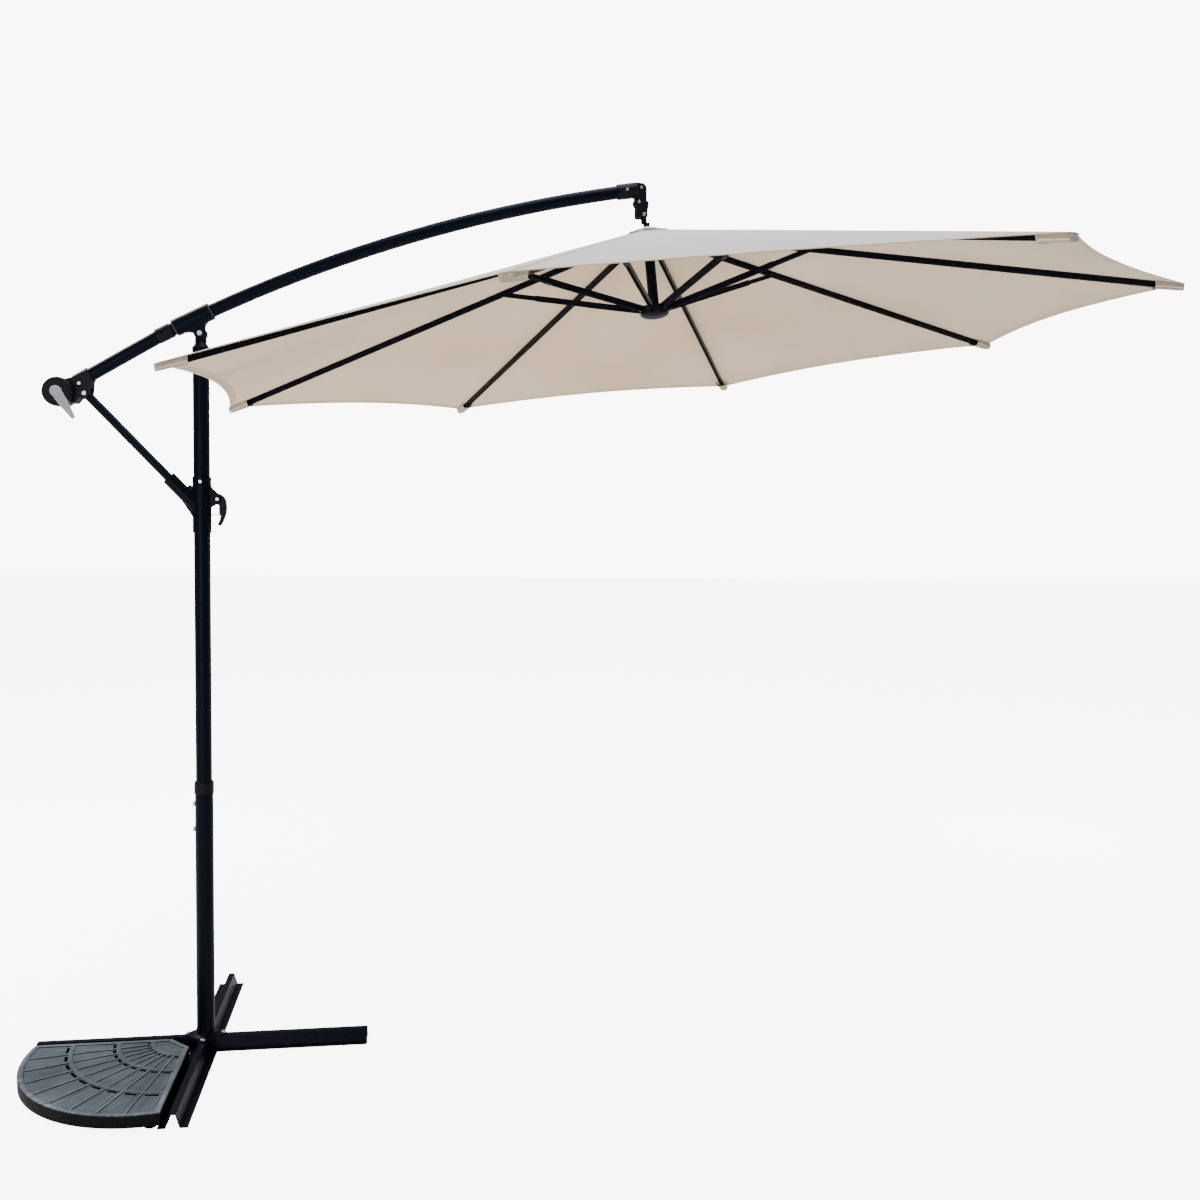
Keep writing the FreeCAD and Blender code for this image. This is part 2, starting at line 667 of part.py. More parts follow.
def make_arm_tubes():
    """Straight lower tube and bent upper tube, mitred together inside the joint collar."""
    bore = ARM_R - ARM_WALL
    straight = pipe(ARM_FOOT, heading(LOWER_ARM_ANGLE), LOWER_ARM_LENGTH, ARM_R, bore)
    above_joint = rod(JOINT, heading(JOINT_ANGLE), JOINT_LENGTH, 2 * ARM_R)
    screw_hole = cross_rod(arm_screw().x, arm_screw().z, 2 * ARM_R, PIN_R)
    save("lower_arm", straight.cut(above_joint).cut(screw_hole))
    bent = bent_rod(JOINT_ANGLE, ELBOW_ANGLE, ARM_R)
    save("curved_arm", bent.cut(bent_rod(JOINT_ANGLE, ELBOW_ANGLE, bore)))


def make_joint_collar():
    """Sleeve over the joint of the two arm tubes."""
    axis = heading(JOINT_ANGLE)
    bore = ARM_R + RUNNING
    collar = rod(JOINT - axis * (JOINT_LENGTH / 2), axis, JOINT_LENGTH, JOINT_R)
    reach = bend_angle(JOINT_LENGTH)
    collar = collar.cut(bent_rod(JOINT_ANGLE, JOINT_ANGLE - reach, bore))
    down = heading(LOWER_ARM_ANGLE) * -1
    collar = collar.cut(rod(JOINT, down, JOINT_LENGTH, bore))
    wedge = Part.makeSphere(bore, JOINT)
    save("joint_collar", collar.cut(wedge))


def make_housing():
    """Two shells that hold the arm's end, the spool and the strut's pin."""
    axis = heading(LOWER_ARM_ANGLE)
    side = HOUSING_HALF - SHELL_STEP
    drum = cross_rod(DRUM.x, DRUM.z, HOUSING_HALF, DRUM_R)
    neck = slab(shifted(NECK, DRUM.x, DRUM.z), -side, side)
    lug = cross_rod(STRUT_PIN.x, STRUT_PIN.z, side, STRUT_LUG_R)
    socket = rod(ARM_FOOT, axis, MOUTH_REACH, MOUTH_R)
    body = joined([drum, neck, lug, socket])
    cavity = cross_rod(DRUM.x, DRUM.z, HOUSING_HALF - DRUM_WALL, DRUM_R - DRUM_WALL)
    tube_bore = rod(ARM_FOOT, axis, 2 * MOUTH_REACH + MOUTH_R, ARM_R)
    room = STRUT_R + 3
    swing = [(-room, room), (2 * room, room), (4 * room, -4 * room), (-room, -4 * room)]
    room_half = STRUT_R + TOUCH_FREE
    strut_room = slab(shifted(swing, STRUT_PIN.x, STRUT_PIN.z), -room_half, room_half)
    spindle = rod(V(DRUM.x, -2 * HOUSING_HALF, DRUM.z), ACROSS, 2 * HOUSING_HALF, SPINDLE_R + RUNNING)
    pin = cross_rod(STRUT_PIN.x, STRUT_PIN.z, 2 * HOUSING_HALF, STRUT_PIN_R)
    clamp = cross_rod(arm_screw().x, arm_screw().z, 2 * HOUSING_HALF, PIN_R)
    hollow = body.cut(cavity).cut(tube_bore).cut(strut_room).cut(spindle).cut(pin).cut(clamp)
    size = 20 * DRUM_R
    corner = V(DRUM.x - size / 2, 0, DRUM.z - size / 2)
    front_half = Part.makeBox(size, size, size, corner - ACROSS * size)
    back_half = Part.makeBox(size, size, size, corner)
    save("housing_front", largest(hollow.common(front_half)))
    save("housing_back", largest(hollow.common(back_half)))


def make_strut_pin():
    half = HOUSING_HALF - SHELL_STEP
    pin = cross_screw(STRUT_PIN.x, STRUT_PIN.z, half, STRUT_PIN_R, STRUT_PIN_HEAD_R)
    save("strut_pin", pin)


# ---- crank ----


def make_spool():
    half = HOUSING_HALF - DRUM_WALL - TOUCH_FREE
    core = cross_rod(DRUM.x, DRUM.z, half, SPOOL_CORE_R)
    plates = []
    for low in (-half, half - 3):
        plates.append(rod(V(DRUM.x, low, DRUM.z), ACROSS, 3, SPOOL_R))
    spindle_length = HOUSING_HALF + 10
    spindle = rod(V(DRUM.x, -spindle_length, DRUM.z), ACROSS, spindle_length, SPINDLE_R)
    save("spool", joined([core, spindle] + plates))


def make_crank():
    """Round hub disc, and the tapered lever on its face."""
    bore = rod(V(DRUM.x, -2 * HOUSING_HALF, DRUM.z), ACROSS, 2 * HOUSING_HALF, SPINDLE_R)
    front = -HOUSING_HALF - TOUCH_FREE - CRANK_DISC
    disc = rod(V(DRUM.x, front, DRUM.z), ACROSS, CRANK_DISC, CRANK_DISC_R)
    rim = [e for e in disc.Edges if e.BoundBox.YMax < front + SEAT]
    save("crank_disc", disc.makeFillet(CRANK_ROUND, rim).cut(bore))
    middle = (CRANK_ROOT + CRANK_TIP) * 0.6
    upper = [
        (0, CRANK_ROOT), (CRANK_REACH * 0.45, middle), (CRANK_REACH * 0.95, CRANK_TIP),
        (CRANK_REACH, CRANK_TIP * 0.6), (CRANK_REACH + CRANK_TIP * 0.3, 0),
    ]
    lower = [(x, -z) for x, z in reversed(upper[:-1])]
    lever = slab(shifted(upper + lower, DRUM.x, DRUM.z), front - CRANK_LEVER, front)
    hub = rod(V(DRUM.x, front - CRANK_HUB, DRUM.z), ACROSS, CRANK_HUB, CRANK_HUB_R)
    hub = hub.makeFillet(2.0, [e for e in hub.Edges if e.BoundBox.YMax < front - CRANK_HUB + SEAT])
    save("crank_handle", tilted(joined([lever, hub]), DRUM, CRANK_ANGLE))


# ---- sliding bracket ----


def socket_mouth():
    """Where the strut enters the bracket: on the strut's line, outside the pole."""
    reach = (-UPPER_POLE_R - SOCKET_OUT - STRUT_PIN.x) / STRUT_AXIS.x
    return STRUT_PIN + STRUT_AXIS * reach


def make_bracket():
    """Sleeve on the pole with a slanted socket for the strut and two ears for the lever."""
    bore = UPPER_POLE_R + RUNNING
    outer = bore + BRACKET_WALL
    height = BRACKET_HIGH - BRACKET_LOW
    mouth = socket_mouth()
    to_pole = (0 - mouth.x) / STRUT_AXIS.x
    sleeve = rod(V(0, 0, BRACKET_LOW), UP, height, outer)
    socket = rod(mouth, STRUT_AXIS, to_pole, SOCKET_R)
    foot = mouth + STRUT_AXIS * to_pole
    gusset = slab(
        [
            (mouth.x + 30, mouth.z - 55), (mouth.x + 60, mouth.z - 20), (0, BRACKET_HIGH - 45),
            (0, foot.z - 40), (-outer + 4, foot.z - 22),
        ],
        -7,
        7,
    )
    ear_low = LEVER_HALF + EAR_SIDE_GAP
    wall = outer - LEVER_PIN.x
    nose = EAR_NOSE
    ear = [(wall - 2, EAR_TOP), (wall + 2, EAR_TOP - 7)] + nose + [(wall - 2, -EAR_FOOT)]
    ear_outline = shifted(ear, LEVER_PIN.x, LEVER_PIN.z)
    ears = [
        slab(ear_outline, ear_low, ear_low + LEVER_EAR),
        slab(ear_outline, -ear_low - LEVER_EAR, -ear_low),
    ]
    body = joined([sleeve, socket, gusset] + ears)
    body = body.cut(rod(V(0, 0, BRACKET_LOW - 1), UP, height + 2, bore))
    body = body.cut(rod(mouth - STRUT_AXIS * 1, STRUT_AXIS, SOCKET_DEPTH + 1, STRUT_R))
    body = body.cut(cross_rod(LEVER_PIN.x, LEVER_PIN.z, 40, PIN_R))
    save("slide_bracket", largest(body))


def make_strut():
    axis = STRUT_AXIS
    length = (socket_mouth() - STRUT_PIN).Length + SOCKET_DEPTH
    tube = pipe(STRUT_PIN, axis, length, STRUT_R, STRUT_R - STRUT_WALL)
    end = joined([
        rod(STRUT_PIN, axis, 18, STRUT_R),
        cross_rod(STRUT_PIN.x, STRUT_PIN.z, STRUT_R - 1, STRUT_R),
    ])
    strut = joined([tube, end])
    pin_bore = cross_rod(STRUT_PIN.x, STRUT_PIN.z, 2 * STRUT_R, STRUT_PIN_R + RUNNING)
    save("strut", strut.cut(pin_bore))


def make_bracket_pins():
    """Lever pin, and the head of the rivet near the bracket's top."""
    half = LEVER_HALF + EAR_SIDE_GAP + LEVER_EAR
    outer = UPPER_POLE_R + RUNNING + BRACKET_WALL
    pin = cross_screw(LEVER_PIN.x, LEVER_PIN.z, half)
    rivet = screw_head(V(0, 0, BRACKET_HIGH - RIVET_BELOW_TOP), outer)
    save("bracket_pins", Part.makeCompound([pin, rivet]))


def make_lever():
    """Cam lever: a round cam on the pin and a claw with a bar across its finger gap."""
    claw = slab(shifted(CLAW, LEVER_PIN.x, LEVER_PIN.z), -LEVER_HALF, LEVER_HALF)
    cam = cross_rod(LEVER_PIN.x, LEVER_PIN.z, LEVER_HALF, LEVER_CAM_R)
    bore = cross_rod(LEVER_PIN.x, LEVER_PIN.z, 2 * LEVER_HALF, PIN_R + RUNNING)
    save("cam_lever", joined([claw, cam]).cut(bore))


# ---- elbow ----


def elbow_sleeve_start():
    return ARM_TOP - heading(ELBOW_ANGLE) * ELBOW_SLEEVE_LENGTH


def elbow_outline():
    """Side view of the cast block: rounded top corner, toothed right side, boss on the left."""
    end = ARM_TOP
    pin = TILT_PIN
    right = pin.x + ELBOW_RIGHT
    upper_right = right - 4
    top = end.z + ELBOW_TOP
    left = pin.x - ELBOW_LEFT
    low = pin.z - ELBOW_LOW
    return [
        (end.x - 1, top - 1), (upper_right - 11, top - 2), (upper_right - 4, top - 8),
        (upper_right, top - 18), (upper_right, PULLEY.z + PULLEY_R), (right, pin.z + TOOTH_LOW + 3),
        (right, low + 4), (right - 4, low), (left, low), (left, pin.z + 20), (left, PULLEY.z),
        (end.x - 1, end.z - ELBOW_TOP),
    ]


def make_elbow():
    """Cast elbow: a sleeve on the arm's end, a bend and a slotted cheek pair for the hanger."""
    start = elbow_sleeve_start()
    axis = heading(ELBOW_ANGLE)
    end = ARM_TOP
    sleeve = rod(start, axis, ELBOW_SLEEVE_LENGTH + 6, ELBOW_SLEEVE_R)
    groove = pipe(end - axis * 3, axis, 2.5, ELBOW_SLEEVE_R + 1, ELBOW_SLEEVE_R - ELBOW_GROOVE)
    body = slab(elbow_outline(), -ELBOW_HALF, ELBOW_HALF)
    boss = cross_rod(PULLEY.x, PULLEY.z, ELBOW_HALF, ELBOW_BOSS_R)
    teeth = []
    right = TILT_PIN.x + ELBOW_RIGHT
    for step in range(TOOTH_COUNT):
        low = TILT_PIN.z + TOOTH_LOW + TOOTH_PITCH * step
        teeth.append(block(right - 6, right - 2 + TOOTH_OUT, ELBOW_HALF - 4, low, low + TOOTH_THICK))
    whole = joined([sleeve.cut(groove), body, boss] + teeth)
    reach = bend_angle(ELBOW_SLEEVE_LENGTH + 5)
    whole = whole.cut(bent_rod(ELBOW_ANGLE + reach, ELBOW_ANGLE, ARM_R + RUNNING))
    inside = right - 4 - ELBOW_WALL
    slot_left = PULLEY.x - PULLEY_R - 1
    slot_top = PULLEY.z + PULLEY_R + 1
    eye_room = TILT_PIN.z + HANGER_EYE_R + 2
    low = TILT_PIN.z - 6 * ELBOW_LOW
    whole = whole.cut(block(slot_left, inside, ELBOW_SLOT_HALF, low, slot_top))
    whole = whole.cut(block(slot_left, right + 20, ELBOW_SLOT_HALF, low, eye_room))
    whole = whole.cut(cross_rod(TILT_PIN.x, TILT_PIN.z, 40, TILT_PIN_R))
    for spot in (PULLEY, ELBOW_SCREW):
        whole = whole.cut(cross_rod(spot.x, spot.z, 40, PIN_R))
    save("elbow_body", largest(whole))


def make_elbow_pulley():
    rim = cross_rod(PULLEY.x, PULLEY.z, PULLEY_HALF, PULLEY_R)
    groove = cross_rod(PULLEY.x, PULLEY.z, PULLEY_HALF - 2, PULLEY_R + 1)
    groove = groove.cut(cross_rod(PULLEY.x, PULLEY.z, PULLEY_HALF, PULLEY_R - PULLEY_GROOVE))
    wheel = rim.cut(groove)
    save("elbow_pulley", wheel.cut(cross_rod(PULLEY.x, PULLEY.z, 40, PIN_R + RUNNING)))


def make_arm_screws():
    """Round-head screws along the arm: housing, joint collar, elbow sleeve, pulley and tilt pin."""
    collar_spot = JOINT - heading(JOINT_ANGLE) * JOINT_SCREW_BACK
    sleeve_spot = elbow_sleeve_start() + heading(ELBOW_ANGLE) * (ELBOW_SLEEVE_LENGTH / 2)
    screws = [
        cross_screw(arm_screw().x, arm_screw().z, HOUSING_HALF - SHELL_STEP),
        screw_head(collar_spot, JOINT_R),
        screw_head(sleeve_spot, ELBOW_SLEEVE_R),
        cross_screw(PULLEY.x, PULLEY.z, ELBOW_HALF),
        cross_screw(ELBOW_SCREW.x, ELBOW_SCREW.z, ELBOW_HALF),
        cross_screw(TILT_PIN.x, TILT_PIN.z, ELBOW_HALF, TILT_PIN_R, TILT_HEAD_R),
    ]
    save("arm_screws", Part.makeCompound(screws))


# ---- canopy head ----


def make_hanger():
    """Eye on the tilt pin with the stem that goes down into the top hub."""
    eye = cross_rod(HANGER_EYE.x, HANGER_EYE.z, HANGER_HALF, HANGER_EYE_R)
    neck_low = HANGER_EYE.z - HANGER_NECK
    left = HANGER_EYE.x - HANGER_NECK_HALF
    neck = block(left, left + 2 * HANGER_NECK_HALF, HANGER_HALF, neck_low, HANGER_EYE.z)
    stem_low = HUB_HIGH - HUB_ROOF
    stem = rod(V(0, 0, stem_low), UP, neck_low + 3 - stem_low, HANGER_STEM_R)
    hanger = joined([eye, neck, stem])
    bore = cross_rod(HANGER_EYE.x, HANGER_EYE.z, 2 * HANGER_HALF, TILT_PIN_R + RUNNING)
    save("hanger", to_canopy(hanger.cut(bore)))


def make_center_post():
    """Tube from the top hub down to where the runner docks."""
    low = -RUNNER_PIVOT_DROP + RUNNER_RISE + 2
    high = HUB_HIGH - HUB_ROOF
    tube = pipe(V(0, 0, low), UP, high - low, POST_R, POST_R - POST_WALL)
    plug = rod(V(0, 0, high - 12), UP, 12, POST_R - POST_WALL)
    save("center_post", to_canopy(joined([tube, plug])))


def hub_slots(shape, hub_r, z_low, z_high):
    """The hub with its eight slots cut between two heights."""
    half = RIB_WIDTH / 2 + EAR_SIDE_GAP
    for number in range(1, RIB_COUNT + 1):
        slot = block(RIB_PIVOT_R - SLOT_DEPTH, hub_r + 1, half, z_low, z_high)
        slot.rotate(V(0, 0, 0), UP, rib_angle(number))
        shape = shape.cut(slot)
    return shape


def hub_pins(z):
    pins = []
    for number in range(1, RIB_COUNT + 1):
        pin = cross_rod(RIB_PIVOT_R, z, RIB_WIDTH / 2 + 1, HUB_PIN_R)
        pin.rotate(V(0, 0, 0), UP, rib_angle(number))
        pins.append(pin)
    return pins


def make_top_hub():
    body = rod(V(0, 0, HUB_LOW), UP, HUB_HIGH - HUB_LOW, TOP_HUB_R)
    body = hub_slots(body, TOP_HUB_R, HUB_LOW - 1, HUB_HIGH + 1)
    body = joined([body] + hub_pins(-RIB_PIVOT_DROP))
    roof = HUB_HIGH - HUB_ROOF
    body = body.cut(rod(V(0, 0, HUB_LOW - 1), UP, roof - HUB_LOW + 1, POST_R))
    body = body.cut(rod(V(0, 0, roof - 1), UP, HUB_ROOF + 2, HANGER_STEM_R))
    save("top_hub", to_canopy(largest(body)))


def make_lower_hub():
    """Runner with a rounded underside; its slots are open outwards and upwards."""
    pivot = -RUNNER_PIVOT_DROP
    high = pivot + RUNNER_RISE
    low = pivot - RUNNER_SINK
    dome = [(RUNNER_R, low)]
    for share in (0.2, 0.4, 0.6, 0.8, 1.0):
        turn = math.radians(90 * share)
        dome.append((RUNNER_R * math.cos(turn), low - RUNNER_DOME * math.sin(turn)))
    body = lathe([(0, high), (RUNNER_R, high)] + dome)
    body = hub_slots(body, RUNNER_R, pivot - SLOT_DEPTH, high + 1)
    save("lower_hub", to_canopy(largest(joined([body] + hub_pins(pivot)))))


def make_canopy_cap():
    """Low round cap on the fabric's top; the stem passes through it."""
    rim = -CANOPY_CAP_DROP
    profile = [
        (HANGER_STEM_R, 1.5), (CANOPY_CAP_R - 2, rim + 1.5), (CANOPY_CAP_R, rim + 2.5),
        (CANOPY_CAP_R - 3, rim + 4.5), (HANGER_STEM_R + 6, CANOPY_CAP), (HANGER_STEM_R, CANOPY_CAP + 4),
    ]
    save("canopy_cap", to_canopy(lathe(profile)))


# ---- ribs and stretchers ----


def make_ribs():
    """Open-bottomed channel with a solid inner end; its outer pin carries the stretcher."""
    half_height = RIB_HEIGHT / 2
    pivot = V(RIB_PIVOT_R, 0, -RIB_PIVOT_DROP)
    width = RIB_WIDTH / 2
    bar = Part.makeBox(RIB_LENGTH, RIB_WIDTH, RIB_HEIGHT, pivot + V(0, -width, -half_height))
    hollow = Part.makeBox(
        RIB_LENGTH - 32,
        RIB_WIDTH - 2 * RIB_WALL,
        RIB_HEIGHT,
        pivot + V(26, -width + RIB_WALL, -half_height - RIB_WALL),
    )
    eye = cross_rod(pivot.x, pivot.z, width, half_height)
    bar = joined([bar, eye]).cut(hollow)
    rivet_x = pivot.x + STRETCHER_REACH
    rivet = cross_rod(rivet_x, pivot.z, width + FORK_THICK + 1.4, EYE_PIN_R)
    bar = joined([bar, rivet])
    bar = bar.cut(cross_rod(pivot.x, pivot.z, 40, HUB_PIN_R + RUNNING))
    bar = tilted(bar, pivot, -RIB_SLOPE)
    for number in range(1, RIB_COUNT + 1):
        save("rib_%d" % number, to_canopy(bar, rib_angle(number)))


def make_stretchers():
    """Bar from the runner up to a fork that straddles the rib."""
    pivot = V(RIB_PIVOT_R, 0, -RUNNER_PIVOT_DROP)
    far = pivot.x + STRETCHER_REACH
    half = STRETCHER_HEIGHT / 2
    width = RIB_WIDTH / 2
    bar_end = far - FORK_LENGTH
    bar = Part.makeBox(bar_end - pivot.x, RIB_WIDTH, STRETCHER_HEIGHT, V(pivot.x, -width, pivot.z - half))
    hollow = Part.makeBox(
        bar_end - pivot.x - 46,
        RIB_WIDTH - 2 * STRETCHER_WALL,
        STRETCHER_HEIGHT,
        V(pivot.x + 26, -width + STRETCHER_WALL, pivot.z - half - STRETCHER_WALL),
    )
    eye = cross_rod(pivot.x, pivot.z, width, half)
    pieces = [joined([bar, eye]).cut(hollow)]
    gap = width + 0.4
    bridge = block(bar_end - FORK_BRIDGE, bar_end, gap + FORK_THICK, pivot.z - half, pivot.z + half)
    pieces.append(bridge)
    fork_half = FORK_HEIGHT / 2
    for low in (gap, -gap - FORK_THICK):
        corner = V(bar_end, low, pivot.z - fork_half)
        cheek = Part.makeBox(far - bar_end, FORK_THICK, FORK_HEIGHT, corner)
        round_end = rod(V(far, low, pivot.z), ACROSS, FORK_THICK, fork_half)
        pieces += [cheek, round_end]
    body = joined(pieces)
    body = body.cut(cross_rod(pivot.x, pivot.z, 40, HUB_PIN_R + RUNNING))
    body = body.cut(cross_rod(far, pivot.z, 40, EYE_PIN_R + RUNNING))
    body = tilted(body, pivot, RIB_SLOPE)
    for number in range(1, RIB_COUNT + 1):
        save("stretcher_%d" % number, to_canopy(body, rib_angle(number)))


# ---- fabric ----


def half_panel(side):
    """Flat half panel on one side of a rib drawn along +X, up to the panel's middle line."""
    slope = math.tan(math.radians(RIB_SLOPE))
    half_step = math.radians(RIB_STEP / 2)
    across_slope = slope / math.cos(half_step)
    shoulder = RIB_WIDTH / 2 * across_slope * math.sin(half_step)
    lift = RIB_HEIGHT / 2 / math.cos(math.radians(RIB_SLOPE)) + shoulder + FABRIC_GAP
    tip_r = RIB_PIVOT_R + RIB_LENGTH * math.cos(math.radians(RIB_SLOPE)) + FABRIC_OVERHANG
    base_z = -RIB_PIVOT_DROP + lift + RIB_PIVOT_R * slope

    def point(radius, angle, back=0.0):
        x = radius * math.cos(angle)
        y = radius * math.sin(angle)
        x += back * math.sin(half_step)
        y -= back * math.cos(half_step)
        along = x * math.cos(half_step) + y * math.sin(half_step)
        return V(x, y * side, base_z - across_slope * along)

    middle_r = tip_r * math.cos(half_step) - HEM_SCALLOP
    corners = [point(FABRIC_HOLE_R, 0), point(tip_r, 0)]
    for part in (0.25, 0.5, 0.75):
        angle = half_step * part
        chord = tip_r * math.cos(half_step) / math.cos(half_step - angle)
        width = math.sin(angle) / math.sin(half_step)
        corners.append(point(chord - HEM_SCALLOP * width * (2 - width), angle))
    corners.append(point(middle_r, half_step, SEAM_GAP / 2))
    corners.append(point(FABRIC_HOLE_R, half_step, SEAM_GAP / 2))
    wire = Part.makePolygon(corners + corners[:1])
    return Part.Face(wire).extrude(UP * FABRIC_THICK)


def make_fabric():
    """Eight sectors of the cover, one on each rib, that meet at the panels' middle lines."""
    sector = joined([half_panel(1), half_panel(-1)])
    for number in range(1, RIB_COUNT + 1):
        save("canopy_%d" % number, to_canopy(sector, rib_angle(number)))


def main():
    os.makedirs("parts", exist_ok=True)
    make_legs()
    make_center_block()
    make_flange_plate()
    make_base_bolts()
    make_lower_pole()
    make_pole_collar()
    make_lock_screws()
    make_weight()
    make_upper_pole()
    make_pole_cap()
    make_pivot_bolt()
    make_arm_sleeve()
    make_sleeve_liners()
    make_arm_tubes()
    make_joint_collar()
    make_housing()
    make_strut_pin()
    make_spool()
    make_crank()
    make_bracket()
    make_strut()
    make_bracket_pins()
    make_lever()
    make_elbow()
    make_elbow_pulley()
    make_arm_screws()
    make_hanger()
    make_center_post()
    make_top_hub()
    make_lower_hub()
    make_canopy_cap()
    make_ribs()
    make_stretchers()
    make_fabric()


main()
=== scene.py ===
"""Looks of the cantilever patio umbrella: sewn cover, crown patch, fan weight, materials and studio.

Lengths are in metres and angles in radians. The frame's own Z is up.
"""

import json
import math

import bpy
from mathutils import Matrix, Vector


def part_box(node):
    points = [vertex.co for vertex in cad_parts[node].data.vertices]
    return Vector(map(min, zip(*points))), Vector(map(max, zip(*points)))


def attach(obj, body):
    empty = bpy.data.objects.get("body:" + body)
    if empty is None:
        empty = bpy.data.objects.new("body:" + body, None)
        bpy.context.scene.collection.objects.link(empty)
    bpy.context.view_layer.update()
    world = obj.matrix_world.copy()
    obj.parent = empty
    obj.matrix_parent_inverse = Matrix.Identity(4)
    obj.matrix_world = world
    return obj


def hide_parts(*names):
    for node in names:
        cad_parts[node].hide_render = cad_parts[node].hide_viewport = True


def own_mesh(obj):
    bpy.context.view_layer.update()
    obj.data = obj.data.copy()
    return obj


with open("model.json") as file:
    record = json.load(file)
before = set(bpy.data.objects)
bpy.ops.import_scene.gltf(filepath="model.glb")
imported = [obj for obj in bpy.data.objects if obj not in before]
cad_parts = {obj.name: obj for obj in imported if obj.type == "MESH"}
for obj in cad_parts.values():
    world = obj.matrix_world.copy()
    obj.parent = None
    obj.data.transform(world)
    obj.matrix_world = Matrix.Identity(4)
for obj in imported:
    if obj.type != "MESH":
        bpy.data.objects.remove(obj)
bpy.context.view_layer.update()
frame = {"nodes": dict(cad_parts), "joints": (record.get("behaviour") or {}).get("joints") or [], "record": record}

# ---- driving sizes of the ribs and the cover ----

RIBS = 8
HALF_STEP = math.pi / RIBS
RIB_SLOPE = math.radians(14.0)
RIB_LENGTH = 1.555
RIB_HEIGHT = 0.018
FABRIC_LIFT = 0.0006  # gap between a rib's top and the cover
FABRIC_THICK = 0.0009
FABRIC_HOLE = 0.020
FABRIC_OVERHANG = 0.006
HEM_SCALLOP = 0.056
HEM_BAND = 0.024
HEM_PROUD = 0.0008
HEM_FOLD = 0.0006  # how far the turned hem stands off each face
PANEL_DIP = 0.0045
RIPPLE = 0.0011
RIB_GROOVE = 0.0012  # depth of the crease above a rib
RIB_GROOVE_HALF = 0.006
SEAM_START = 0.03  # from the cover's middle hole
SEAM_SHORT = 0.006  # of the hem's edge
SEAM_STEP = 0.0035
SEAM_THICK = 0.0008
SEAM_GAP = 0.0001
POCKET_LENGTH = 0.075
POCKET_HALF = 0.024
POCKET_TAPER = 0.007
POCKET_DEPTH = 0.0205
POCKET_SHRINK = 0.002
POCKET_MOUTH = 0.0035  # extra depth of the open end's rolled edge
POCKET_PAST_TIP = 0.002
POCKET_WALL = 0.0009
POCKET_GAP = 0.0004
POCKET_ROWS = 10
POCKET_END_ROWS = 2  # rows that close the end past the rib's tip
POCKET_END_STEP = 0.0012
POCKET_END_NARROW = 0.004
POCKET_END_RISE = 0.0082
POCKET_SQUARE = 1.35  # how much squarer than an ellipse its section is
CROWN_R = 0.066
CROWN_HOLE = 0.006
CROWN_LIFT = 0.006
CROWN_SEAT = 0.0012  # gap over the cover, in which the rib seams' ends lie
CROWN_THICK = 0.0012
CROWN_RISE = 0.0016
CROWN_TURNS = 96
CROWN_RINGS = 12
CROWN_SLOW_WAVE = 0.0012
CROWN_FAST_WAVE = 0.0009
CROWN_UV = 0.9  # v at the edge, which leaves the outer stitch row just inside it
PIPING_R = 0.0019
PIPING_RISE = 0.0026
SHEET_SHARP = math.radians(50)

JOINTS = {joint["name"]: joint for joint in frame["joints"]}


def fold_joint(number):
    return "canopy_fold" if number == 1 else "fold_rib_%d" % number


def canopy_frame():
    """Centre of the ring of rib hinges and the canopy's own X, Y and Z axes."""
    hinges = [Vector(JOINTS[fold_joint(n)]["pos_m"]) for n in range(1, RIBS + 1)]
    center = sum(hinges, Vector()) / RIBS
    up = (hinges[0] - center).cross(hinges[2] - center).normalized()
    across = Vector((0, 1, 0))
    along = across.cross(up).normalized()
    ring = (hinges[0] - center).length
    return center, along, across, up, ring


CENTER, ALONG, ACROSS, UP, RING = canopy_frame()


def canopy_point(radius, angle, height):
    """Point of the canopy's frame in the row frame; height is measured from the rib hinges."""
    out = ALONG * math.cos(angle) + ACROSS * math.sin(angle)
    return CENTER + out * radius + UP * height


def rib_azimuth(number):
    return 2 * HALF_STEP * (number - 0.5)


# ---- camera, floor and light ----

CAMERA_PLACE = Vector((0.670, -3.709, 1.674))
CAMERA_YAW = math.radians(-8.64)
CAMERA_PITCH = math.radians(-3.90)
CAMERA_ROLL = math.radians(-0.90)
CAMERA_LENS = 34.94
ROOM_STRENGTH = 0.55
BACKDROP_STRENGTH = 9.0
FLOOR_GLOW = 7.0


def make_camera():
    data = bpy.data.cameras.new("camera")
    data.lens = CAMERA_LENS
    data.sensor_width = 36.0
    camera = bpy.data.objects.new("camera", data)
    turn = Matrix.Rotation(CAMERA_YAW, 3, "Z") @ Matrix.Rotation(CAMERA_PITCH, 3, "X")
    turn = turn @ Matrix.Rotation(CAMERA_ROLL, 3, "Y") @ Matrix.Rotation(math.pi / 2, 3, "X")
    camera.matrix_world = Matrix.Translation(CAMERA_PLACE) @ turn.to_4x4()
    bpy.context.collection.objects.link(camera)
    bpy.context.scene.camera = camera


def area_light(name, place, target, size, power, color):
    data = bpy.data.lights.new(name, "AREA")
    data.shape = "RECTANGLE"
    data.size = size[0]
    data.size_y = size[1]
    data.energy = power
    data.color = color
    light = bpy.data.objects.new(name, data)
    aim = (Vector(target) - Vector(place)).to_track_quat("-Z", "Y")
    light.matrix_world = Matrix.Translation(place) @ aim.to_matrix().to_4x4()
    bpy.context.collection.objects.link(light)


